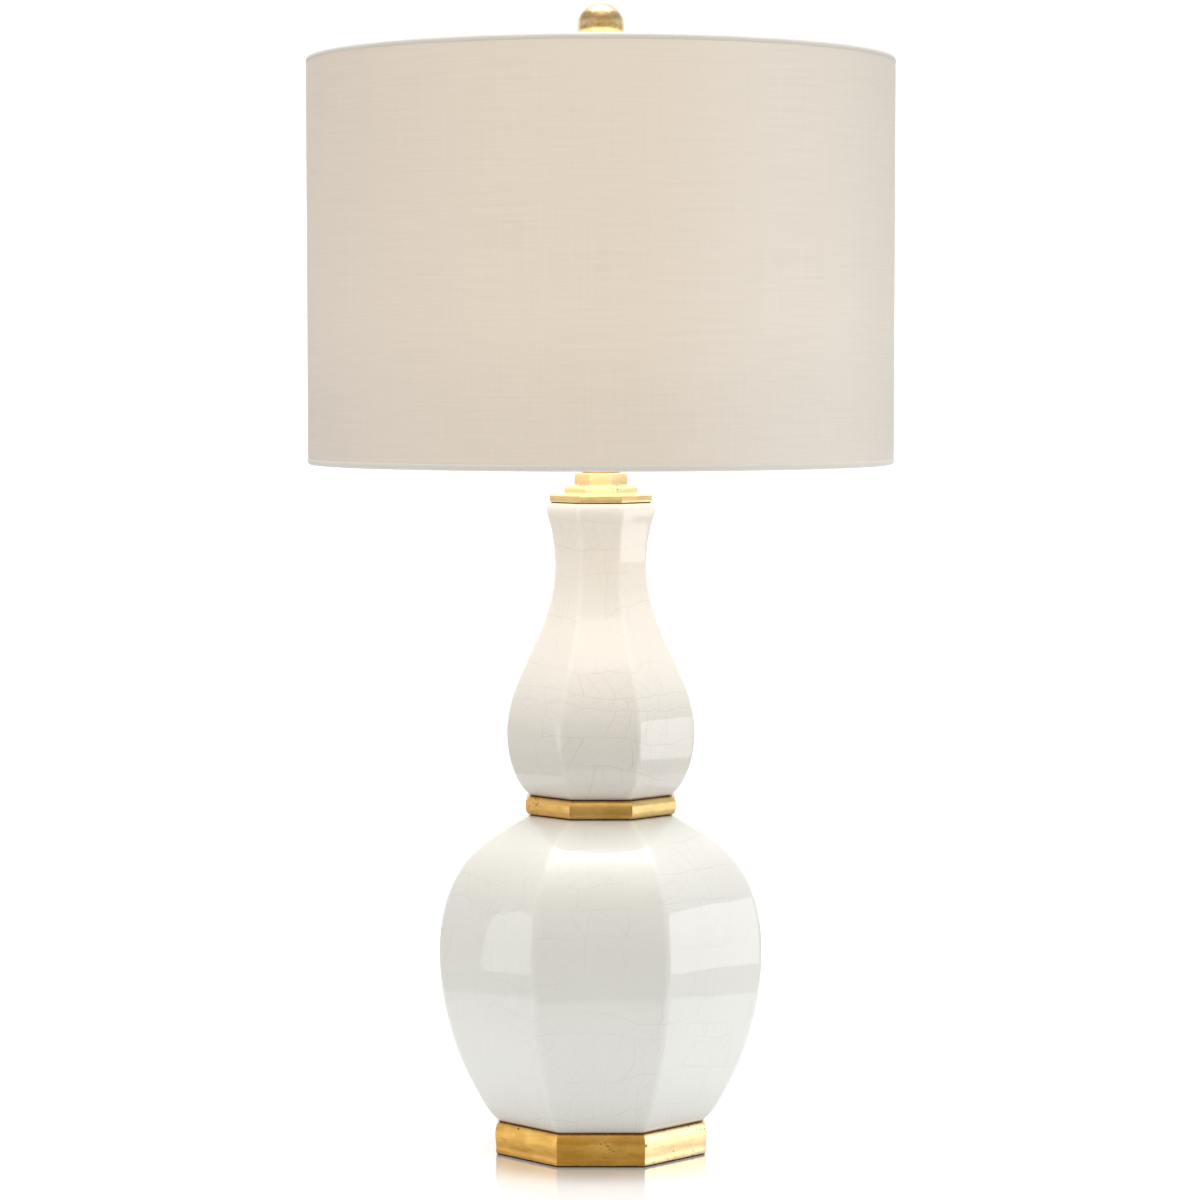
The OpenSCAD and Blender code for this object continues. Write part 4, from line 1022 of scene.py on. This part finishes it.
def harp():
    leg_x, wire_r = 28.0, 1.5
    z0, top = SADDLE_Z + 0.2, SEAT_Z - 2 - wire_r
    out_a, in_a = math.radians(19), math.radians(14)
    b1, b2, b3, run0, run1 = 45, 90, 24, 36, 75
    run2 = (top - z0 - run0 - b1 * math.sin(out_a) - run1 * math.cos(out_a) - b2 * (math.sin(out_a) + math.sin(in_a))
            - b3 * (1 - math.sin(in_a))) / math.cos(in_a)
    x, z, h = leg_x, z0, 0.0
    pts = [(x, z)]

    def straight(l, n):
        nonlocal x, z
        for i in range(1, n + 1):
            pts.append((x + l * i / n * math.sin(h), z + l * i / n * math.cos(h)))
        x, z = pts[-1]

    def bend(r, a, side, n):
        nonlocal x, z, h
        cx, cz = x + side * r * math.cos(h), z - side * r * math.sin(h)
        h0 = h
        for i in range(1, n + 1):
            g = h0 + side * a * i / n
            pts.append((cx - side * r * math.cos(g), cz + side * r * math.sin(g)))
        h = h0 + side * a
        x, z = pts[-1]

    straight(run0, 8)
    bend(b1, out_a, 1, 8)
    straight(run1, 8)
    bend(b2, out_a + in_a, -1, 14)
    straight(run2, 8)
    bend(b3, math.pi / 2 - in_a, -1, 14)
    pts.append((0.0, top))
    line = [(-px, 0.0, pz) for px, pz in pts] + [(px, 0.0, pz) for px, pz in pts[-2::-1]]
    b = Build()
    n = len(line)
    # leg ends chamfered
    rad = [wire_r] * n
    rad[0] = rad[-1] = wire_r * 0.72
    line.insert(1, (line[0][0], 0.0, line[0][2] + 0.5))
    line.insert(-1, (line[-1][0], 0.0, line[-1][2] + 0.5))
    rad = [rad[0], wire_r] + [wire_r] * (n - 2) + [wire_r, rad[-1]]
    tube(b, line, rad, 16)
    b.done("harp_bent_wire", M_BRASS_WIRE, "base", ["harp_wire"], sharp=50)

    # seat disc and threaded screw
    b = Build()
    prof = fillet([(1.2, SEAT_Z - 2), (6.6, SEAT_Z - 2), (7, SEAT_Z - 1.7), (7, SEAT_Z - 0.4), (6.6, SEAT_Z),
                   (3.1, SEAT_Z)], 0.2, 2)
    rings = [circle(r, z, 64) for r, z in prof]
    turns, pitch, n = 7, 0.94, 64
    zt = SEAT_Z + 0.6
    rings += [circle(2.75, SEAT_Z + 0.3, n)]
    for i in range(turns * 10 + 1):
        z = zt + pitch * i / 10
        ring = []
        for k in range(n):
            ph = (i / 10 - k / n) % 1.0
            ring.append((2.72 + 0.36 * (1 - abs(2 * ph - 1)), TAU * k / n, z))
        rings.append([(r * math.cos(t), r * math.sin(t), zz) for r, t, zz in ring])
    rings += [circle(2.7, zt + pitch * turns + 0.7, n), circle(2.2, SEAT_Z + 8.95, n)]
    b.loft(rings, cap0=True, cap1=True)
    # a bead of braze where the disc meets the wire
    for s in (-1, 1):
        ring_list = []
        for i in range(7):
            t = math.pi * (i + 0.5) / 7
            ring_list.append([(s * 5.0 + 2.4 * math.sin(t) * math.cos(q), 1.9 * math.sin(t) * math.sin(q),
                               SEAT_Z - 2.2 - 1.0 * math.cos(t)) for q in [TAU * k / 14 for k in range(14)]])
        b.loft(ring_list, cap0=True, cap1=True, mat=1)
    b.done("harp_top_screw", [M_BRASS, M_WELD], "base", ["harp_stud"], sharp=50)

    # saddle: strip with rolled-up posts
    b = Build()
    post_x, post_r = 31.0, 1.4
    z1, z2 = SADDLE_Z - 1.6, SADDLE_Z
    n_end = 14
    outline = []
    for s in (1, -1):
        for i in range(n_end + 1):
            t = math.radians(-78 + 156 * i / n_end)
            x = 28.0 + 6.0 * math.cos(t)
            y = 6.0 * math.sin(t)
            outline.append((s * min(x, 33.9), s * y))
    hole = circle(5.2, 0, len(outline), turn=math.atan2(outline[0][1], outline[0][0]))

    def outline_ring(grow, z):
        return [(x - math.copysign(grow, x) if abs(x) > 1 else x, y - math.copysign(grow, y) * min(1, abs(y) / 6), z)
                for x, y in outline]
    rings = [[(x, y, z1) for x, y, _ in hole], outline_ring(0.3, z1), outline_ring(0.0, z1 + 0.3),
             outline_ring(0.0, z2 - 0.3), outline_ring(0.3, z2), [(x, y, z2) for x, y, _ in hole]]
    b.loft(rings, loop=True)
    for s in (-1, 1):
        lathe(b, fillet([(0.3, z2 - 0.2), (post_r, z2 - 0.2), (post_r, z2 + 10.4), (0.5, z2 + 11.95)], 0.35, 3), 20,
              cx=s * post_x, cap0=True, cap1=True)
        lathe(b, fillet([(1.0, z1 - 0.0), (2.1, z1 + 0.02), (1.6, z1 + 0.3)], 0.1, 2), 20, cx=s * post_x, cap0=True, cap1=True)
    b.done("harp_saddle_strip", M_BRASS, "base", ["harp_saddle"], sharp=45)

    # ferrules: flat-sided sleeves with a rolled lip top and bottom
    for s, name, node, body in ((1, "ferrule_right_sleeve", "ferrule_right", "right_ferrule"),
                                (-1, "ferrule_left_sleeve", "ferrule_left", "left_ferrule")):
        b = Build()
        zb = SADDLE_Z + 0.6

        def stadium(r, z, m=12):
            out = []
            for i in range(m + 1):
                t = -math.pi / 2 + math.pi * i / m
                out.append((31.0 + r * math.cos(t), r * math.sin(t), z))
            for i in range(m + 1):
                t = math.pi / 2 + math.pi * i / m
                out.append((28.0 + r * math.cos(t), r * math.sin(t), z))
            return [(s * x, y, z) for x, y, z in (out if s > 0 else out[::-1])]
        prof = [(1.85, zb + 0.3), (2.15, zb), (2.45, zb + 0.15), (2.6, zb + 0.6), (2.55, zb + 1.2), (2.35, zb + 1.7),
                (2.35, zb + 12.3), (2.55, zb + 12.8), (2.6, zb + 13.4), (2.45, zb + 13.85), (2.15, zb + 14),
                (1.85, zb + 13.7)]
        b.loft([stadium(r, z) for r, z in prof], loop=True)
        b.done(name, M_BRASS, body, [node], sharp=50)

    # riser with turned flanges
    b = Build()
    z0 = COLLAR_Z1
    z1 = SADDLE_Z - 1.6
    prof = fillet([(5.3, z0 + 5), (5.3, z0), (10, z0), (10, z0 + 1.6), (8.6, z0 + 2.4), (8, z0 + 3.2), (8, z1 - 3.4),
                   (8.4, z1 - 2.2), (9.5, z1 - 1.7), (9.5, z1), (5.3, z1), (5.3, z1 - 5)], 0.35, 3)
    b.loft([circle(r, z, 56) for r, z in prof], loop=True)
    b.done("riser_turned", M_BRASS, "base", ["riser_tube"], sharp=40)

    # lock nut with chamfered corners
    b = Build()
    rr = 16 / 2 / math.cos(math.radians(30))
    n = 48

    def hexa(r_flat, z, limit):
        out = []
        for k in range(n):
            t = TAU * k / n
            u = (t + math.pi / 6) % (math.pi / 3) - math.pi / 6
            r = min(r_flat / math.cos(u), limit)
            out.append((r * math.cos(t), r * math.sin(t), z))
        return out
    rings = [circle(5.06, SADDLE_Z, n), hexa(8, SADDLE_Z, 8.1), hexa(8, SADDLE_Z + 0.5, rr), hexa(8, SADDLE_Z + 2.5, rr),
             hexa(8, SADDLE_Z + 3, 8.1), circle(5.06, SADDLE_Z + 3, n)]
    b.loft(rings, loop=True)
    b.done("saddle_nut", M_BRASS, "base", ["saddle_locknut"], sharp=25)


harp()

# ------------------------------------------------------------------ socket, switch and bulb


def socket():
    sr = 17.5
    n = 96
    b = Build()
    cap = [(5.06, SOCKET_Z + 3.9), (5.06, SOCKET_Z), (8, SOCKET_Z), (9, SOCKET_Z + 2.5), (sr - 4.6, SOCKET_Z + 5),
           (sr - 1.2, SOCKET_Z + 10), (sr + 0.1, SOCKET_Z + 14), (sr + 0.3, SOCKET_Z + 15), (sr + 0.3, SOCKET_Z + 18),
           (sr - 0.15, SOCKET_Z + 18), (sr - 0.2, SOCKET_Z + 15.4), (sr - 2, SOCKET_Z + 11), (sr - 5.2, SOCKET_Z + 6.2),
           (8.4, SOCKET_Z + 4)]
    prof = fillet(cap, 0.8, 4)
    b.loft([circle(r, z, n) for r, z in prof], loop=True)
    # set screw on the cap's neck
    m = Matrix.Translation((0, 8.2, SOCKET_Z + 1.9)) @ Matrix.Rotation(math.radians(-90), 4, "X")
    for prof in ([(0.3, -1.5), (1.5, -1.5), (1.5, 0.5), (1.2, 0.8), (0.3, 0.8)],):
        b.loft([placed(circle(r, z, 16), m) for r, z in prof], cap0=True, cap1=True)
    b.done("socket_cap_spun", M_BRASS_SHELL, "base", ["socket_cap"], sharp=40)

    # shell: beads and rolled rim
    b = Build()
    z0 = SOCKET_Z + 15.6
    zt = SOCKET_Z + 65
    r = sr - 0.35

    def bead(z):
        d = 0.0
        for zc, wd, h in ((z0 + 31.5, 1.0, 0.32), (z0 + 34.5, 1.0, 0.32), (zt - 2.6, 1.3, 0.75)):
            d += h * math.exp(-((z - zc) / wd) ** 2)
        return d
    heights = sorted(set([z0 + 0.1, z0 + 0.5] + [z0 + 1 + k * 1.0 for k in range(48)] + [z0 + 29.5 + k * 0.4 for k in range(18)]
                         + [zt - 5 + k * 0.35 for k in range(14)]))
    heights = [z for z in heights if z < zt - 0.3]
    outer = [(r + bead(z), z) for z in heights] + [(r - 0.05, zt - 0.15), (r - 0.3, zt)]
    inner = [(r - 0.55, zt - 0.15)] + [(r - 0.6, z) for z in heights[::-3]] + [(r - 0.55, z0), (r - 0.3, z0)]
    rings = [circle(q, z, n, turn=-math.pi / 2) for q, z in outer + inner]
    b.loft(rings, loop=True)
    # pressed boss round the switch stem
    m = Matrix.Translation((0, -(r - 0.2), SWITCH_Z)) @ Matrix.Rotation(math.radians(90), 4, "X")
    prof = fillet([(2.4, 0.2), (2.4, 0.85), (4.2, 0.85), (5.2, 0.5), (5.9, -0.9)], 0.3, 3)
    rings = []
    for q, h in prof:
        ring = []
        for x, y, z in circle(q, h, 40):
            # follow the cylinder's curve
            drop = r - math.sqrt(max(r * r - x * x, 0))
            ring.append((x, y, z - drop))
        rings.append(placed(ring, m))
    b.loft(rings)
    b.done("socket_shell_spun", M_BRASS_SHELL, "base", ["socket_shell"], sharp=50)

    # screw shell: rolled thread
    b = Build()
    zs = SOCKET_Z + 35.2
    rings = []
    pitch = 3.63
    for i in range(55):
        z = zs + 27 * i / 54
        rings.append([((13.58 + 0.20 * math.sin(TAU * ((z - zs) / pitch - k / 64))) * math.cos(TAU * k / 64),
                       (13.58 + 0.20 * math.sin(TAU * ((z - zs) / pitch - k / 64))) * math.sin(TAU * k / 64), z)
                      for k in range(64)])
    inner = [[(x * 0.979, y * 0.979, z) for x, y, z in ring] for ring in rings[2::3]][::-1]
    b.loft(rings + inner + [circle(6.0, zs + 0.55, 64), circle(6.0, zs, 64)], loop=True)
    b.done("screw_shell_rolled", M_BRASS, "base", ["socket_screw_shell"], sharp=60)

    # switch stem and knob
    b = Build()
    m = Matrix.Translation((0, 0, SWITCH_Z)) @ Matrix.Rotation(math.radians(90), 4, "X")
    prof = fillet([(0.4, 6), (1.8, 6.0), (1.8, 31.7), (0.4, 32)], 0.3, 2)
    b.loft([placed(circle(r_, z, 24), m) for r_, z in prof], cap0=True, cap1=True)
    b.done("switch_stem_turned", M_BRASS, "switch", ["switch_stem"])

    b = Build()
    # round boss blended into a flat thumb paddle
    def knob_ring(t, grow=0.0):
        """Cross-section of the knob at distance t along the stem."""
        ring = []
        k_p = smooth(t, 25.0, 29.5)
        halfw = lerp(4.2, 6.6 - 0.5 * smooth(t, 35, 39), k_p)
        halft = lerp(4.2, 1.65 - 0.25 * smooth(t, 30, 39), k_p)
        for k in range(48):
            q = TAU * k / 48
            c, s = math.cos(q), math.sin(q)
            p = lerp(2.0, 2.6, k_p)
            d = (abs(c) ** p + abs(s) ** p) ** (-1 / p)
            rib = 0.10 * math.cos(12 * q) * (1 - k_p) * smooth(t, 21.9, 23)
            ring.append(((halfw + rib - grow) * c * d, (halft + rib - grow) * s * d, t))
        return ring
    ts = [(21.5, 0.45), (21.65, 0.18), (22.0, 0.0)] + [(22.5 + 0.5 * i, 0.0) for i in range(31)] + \
         [(38.2, 0.05), (38.6, 0.2), (38.85, 0.45), (39.0, 0.9)]
    rings = [placed(knob_ring(t, g), m) for t, g in ts]
    b.loft(rings, cap0=True, cap1=True)
    b.done("switch_knob_moulded", M_KNOB, "switch", ["switch_knob"], sharp=60)

    # bulb cap: rolled thread, bottom cone
    b = Build()
    zb = BULB_Z
    rings = [circle(q, z, 64) for q, z in ((6.25, zb + 2.9), (6.2, zb + 2.2), (9.5, zb + 3.4), (11.4, zb + 4.6), (12.3, zb + 5.8))]
    for i in range(61):
        z = zb + 6.4 + 17.2 * i / 60
        amp = 0.33 * smooth(z, zb + 6.4, zb + 8) * (1 - smooth(z, zb + 22, zb + 23.6))
        rings.append([((12.62 + amp * math.sin(TAU * ((z - zb) / pitch - k / 64))) * math.cos(TAU * k / 64),
                       (12.62 + amp * math.sin(TAU * ((z - zb) / pitch - k / 64))) * math.sin(TAU * k / 64), z)
                      for k in range(64)])
    rings += [circle(12.75, zb + 24.3, 64), circle(12.95, zb + 25.4, 64), circle(12.8, zb + 25.9, 64),
              circle(12.45, zb + 26, 64), circle(12.3, zb + 24.5, 64), circle(12.1, zb + 8, 64), circle(9.2, zb + 4.1, 64)]
    b.loft(rings, loop=True)
    b.done("bulb_cap_rolled", M_NICKEL, "bulb", ["bulb_cap"], sharp=60)

    b = Build()
    prof = spline([(0, 12.1), (5, 12.1), (9, 13), (16, 15.4), (25, 19.6), (33, 23.9), (41, 27.4), (50, 29.6),
                   (57, 29.95), (65, 28.9), (73, 25.5), (80, 19.6), (85, 12.2), (87.4, 5.2)], 5) + [(87.9, 1.6)]
    outer = [circle(max(q, 0.4), BULB_Z + 22 + z, 72) for z, q in prof]
    inner = [circle(max(q - 1.0, 0.3), BULB_Z + 22 + (z if z < 60 else z - 0.9), 72) for z, q in prof[::-4]]
    i0 = b.loft(inner + outer, cap0=False)
    # close the neck and the crown
    b.face([i0[0] + j for j in range(72)][::-1])
    b.face([i0[-1] + j for j in range(72)])
    b.done("bulb_envelope", M_BULB, "bulb", ["bulb_glass"], sharp=60)


socket()

# ------------------------------------------------------------------ CAD pieces that keep their shape

KEPT = {
    "felt_pad": M_FELT, "cord_bushing": M_BUSH, "base_nut": M_STEEL, "base_washer": M_STEEL, "lamp_pipe": M_STEEL,
    "foot_gasket": M_GASKET, "waist_gasket_lower": M_GASKET, "waist_gasket_upper": M_GASKET, "neck_gasket": M_GASKET,
    "socket_insulator": M_FIBRE, "socket_body": M_PHENOLIC, "socket_contact": M_BRASS, "terminal_screws": M_BRASS,
    "bulb_insulator": M_KNOB, "bulb_tip": M_NICKEL, "finial_insert": M_BRASS,
}
for node, mat in KEPT.items():
    o = frame["nodes"][node]
    if not o.material_slots:
        o.data.materials.append(mat)
    for s in o.material_slots:
        s.material = mat

# ------------------------------------------------------------------ stage, light and camera


def stage():
    """Pale floor. The part under the lamp, a little wider than the picture, is lit from beneath like a photo table."""
    g = Mat("pale_floor")
    co = g.obj()
    at = g.add("SeparateXYZ", Vector=co)
    ends = g.math("ADD", g.math("MULTIPLY", at.outputs[1], 0.20), 0.467)
    near = g.remap(at.outputs[1], -0.425, -0.412)
    across = g.remap(g.math("SUBTRACT", ends, g.math("ABSOLUTE", at.outputs[0])), 0.0, 0.005)
    lit = g.math("MULTIPLY", near, across)
    a = g.noise(co, 3.0, 2.0, 0.5)
    white = g.mix(a, (0.645, 0.67, 0.70), (0.665, 0.69, 0.72))
    col = g.mix(lit, (0.30, 0.288, 0.262), white)
    # lit from beneath; round the foot of the lamp it is polished more, and glows less and is greyer: painted shade
    # round the foot
    away = g.math("SQRT", g.math("ADD", g.math("MULTIPLY", at.outputs[0], at.outputs[0]),
                                 g.math("MULTIPLY", at.outputs[1], at.outputs[1])))
    foot_polish_and_shade = g.remap(away, 0.080, 0.152, 0.92, 0.0)
    col = g.mix(foot_polish_and_shade, col, (0.625, 0.63, 0.615))
    glow = g.math("MULTIPLY", g.math("MULTIPLY", lit, 0.31), g.remap(foot_polish_and_shade, 0.0, 1.0, 1.0, 0.48))
    mat = g.finish(Base_Color=col, Roughness=g.remap(lit, 0.0, 1.0, 0.6, 0.12),
                   Specular_IOR_Level=g.remap(lit, 0.0, 1.0, 0.15, 0.65), Coat_Weight=foot_polish_and_shade, Coat_IOR=2.2, Coat_Roughness=0.09,
                   Emission_Color=(0.98, 0.985, 0.98), Emission_Strength=glow)
    me = bpy.data.meshes.new("floor")
    s = 6.0
    me.from_pydata([(-s, -s, 0), (s, -s, 0), (s, s, 0), (-s, s, 0)], [], [(0, 1, 2, 3)])
    me.materials.append(mat)
    o = bpy.data.objects.new("floor", me)
    bpy.context.scene.collection.objects.link(o)


def area(name, place, aim, sx, sy, power, colour=(1, 1, 1), spread=180):
    d = bpy.data.lights.new(name, "AREA")
    d.shape = "RECTANGLE"
    d.size, d.size_y = sx, sy
    d.energy = power
    d.color = colour
    d.spread = math.radians(spread)
    o = bpy.data.objects.new(name, d)
    o.location = place
    o.rotation_euler = (Vector(aim) - Vector(place)).to_track_quat("-Z", "Y").to_euler()
    o.visible_camera = False
    bpy.context.scene.collection.objects.link(o)
    return o


class Sky(Mat):
    def __init__(self, name):
        self.m = bpy.data.worlds.new(name)
        self.m.use_nodes = True
        self.t = self.m.node_tree
        self.t.nodes.clear()
        self.out = self.t.nodes.new("ShaderNodeOutputWorld")
        self.p = self.t.nodes.new("ShaderNodeBackground")
        self.t.links.new(self.p.outputs[0], self.out.inputs[0])


def world():
    """White backdrop behind. In front a room that is dim at table height and lighter towards the ceiling."""
    w = Sky("studio")
    bpy.context.scene.world = w.m
    d = w.add("SeparateXYZ", Vector=w.add("TexCoord").outputs["Generated"])
    x, y, z = d.outputs[0], d.outputs[1], d.outputs[2]
    back = w.remap(y, 0.45, 0.72)
    flat = w.math("SQRT", w.math("ADD", w.math("MULTIPLY", x, x), w.math("MULTIPLY", y, y)))
    side = w.remap(w.math("DIVIDE", w.math("ABSOLUTE", x), w.math("MAXIMUM", flat, 0.0001)), 0.50, 0.85)

    def climb(steps):
        v = steps[0][1]
        for (z0, c0), (z1, c1) in zip(steps, steps[1:]):
            v = w.mix(w.remap(z, z0, z1), v, c1)
        return v

    front = climb([(0.0, (0.45, 0.43, 0.37)), (0.17, (0.76, 0.74, 0.66)), (0.34, (0.84, 0.82, 0.75)),
                   (0.50, (0.88, 0.86, 0.80)), (0.64, (0.92, 0.90, 0.84)), (0.77, (1.30, 1.28, 1.20)),
                   (0.90, (1.90, 1.88, 1.78))])
    left = climb([(0.0, (0.60, 0.59, 0.57)), (0.25, (0.76, 0.745, 0.715)), (0.50, (0.83, 0.81, 0.77)),
                  (0.75, (1.02, 1.00, 0.97))])
    right = climb([(0.0, (0.56, 0.56, 0.54)), (0.25, (0.76, 0.775, 0.78)), (0.50, (0.86, 0.88, 0.88)),
                   (0.75, (1.06, 1.09, 1.14))])
    ends = w.mix(w.remap(x, -0.2, 0.2), left, right)
    sky = w.mix(back, w.mix(side, front, ends), (1.22, 1.22, 1.21))
    w.finish(Color=sky, Strength=1.0)


def disc(name, place, aim, size, power, colour):
    o = area(name, place, aim, size, size, power, colour)
    o.data.shape = "DISK"
    o.data.size = size
    return o


stage()
world()
area("overhead_box", (0, 0.32, 2.2), (0, 0.32, 0.4), 1.7, 1.15, 15.5, (0.97, 0.99, 1.0))
area("right_box", (0.80, -0.20, 0.195), (0, -0.20, 0.195), 0.52, 0.385, 1.36, (0.97, 0.99, 1.0))
area("left_box", (-0.80, -0.265, 0.185), (0, -0.265, 0.185), 0.40, 0.375, 0.66, (0.93, 0.97, 1.0))
# the lit inside of the shade, as the body and the table see it
disc("shade_glow", (0, 0, 0.514), (0, 0, 0.0), 0.415, 0.58, (0.985, 0.93, 0.85)).visible_glossy = False
disc("shade_shine", (0, 0, 0.5138), (0, 0, 0.0), 0.415, 0.66, (0.99, 0.965, 0.94)).visible_diffuse = False
disc("shade_glow_up", (0, 0, 0.797), (0, 0, 2.0), 0.40, 0.95, (1.0, 0.95, 0.86))
area("overhead_shine", (0, 0.40, 2.2), (0, 0.40, 0.4), 1.5, 0.9, 30, (1.0, 1.0, 1.0)).visible_diffuse = False

cam_data = bpy.data.cameras.new("camera")
cam_data.lens = 110.30
cam_data.sensor_width = 36
cam_data.sensor_fit = "HORIZONTAL"
cam_data.clip_end = 50
cam = bpy.data.objects.new("camera", cam_data)
cam.location = (-0.0006, -2.7142, 0.5771)
cam.rotation_euler = (math.radians(90 - 3.564), 0, 0)
bpy.context.scene.collection.objects.link(cam)
bpy.context.scene.camera = cam
bpy.context.scene.view_settings.view_transform = "Standard"
bpy.context.scene.view_settings.look = "None"
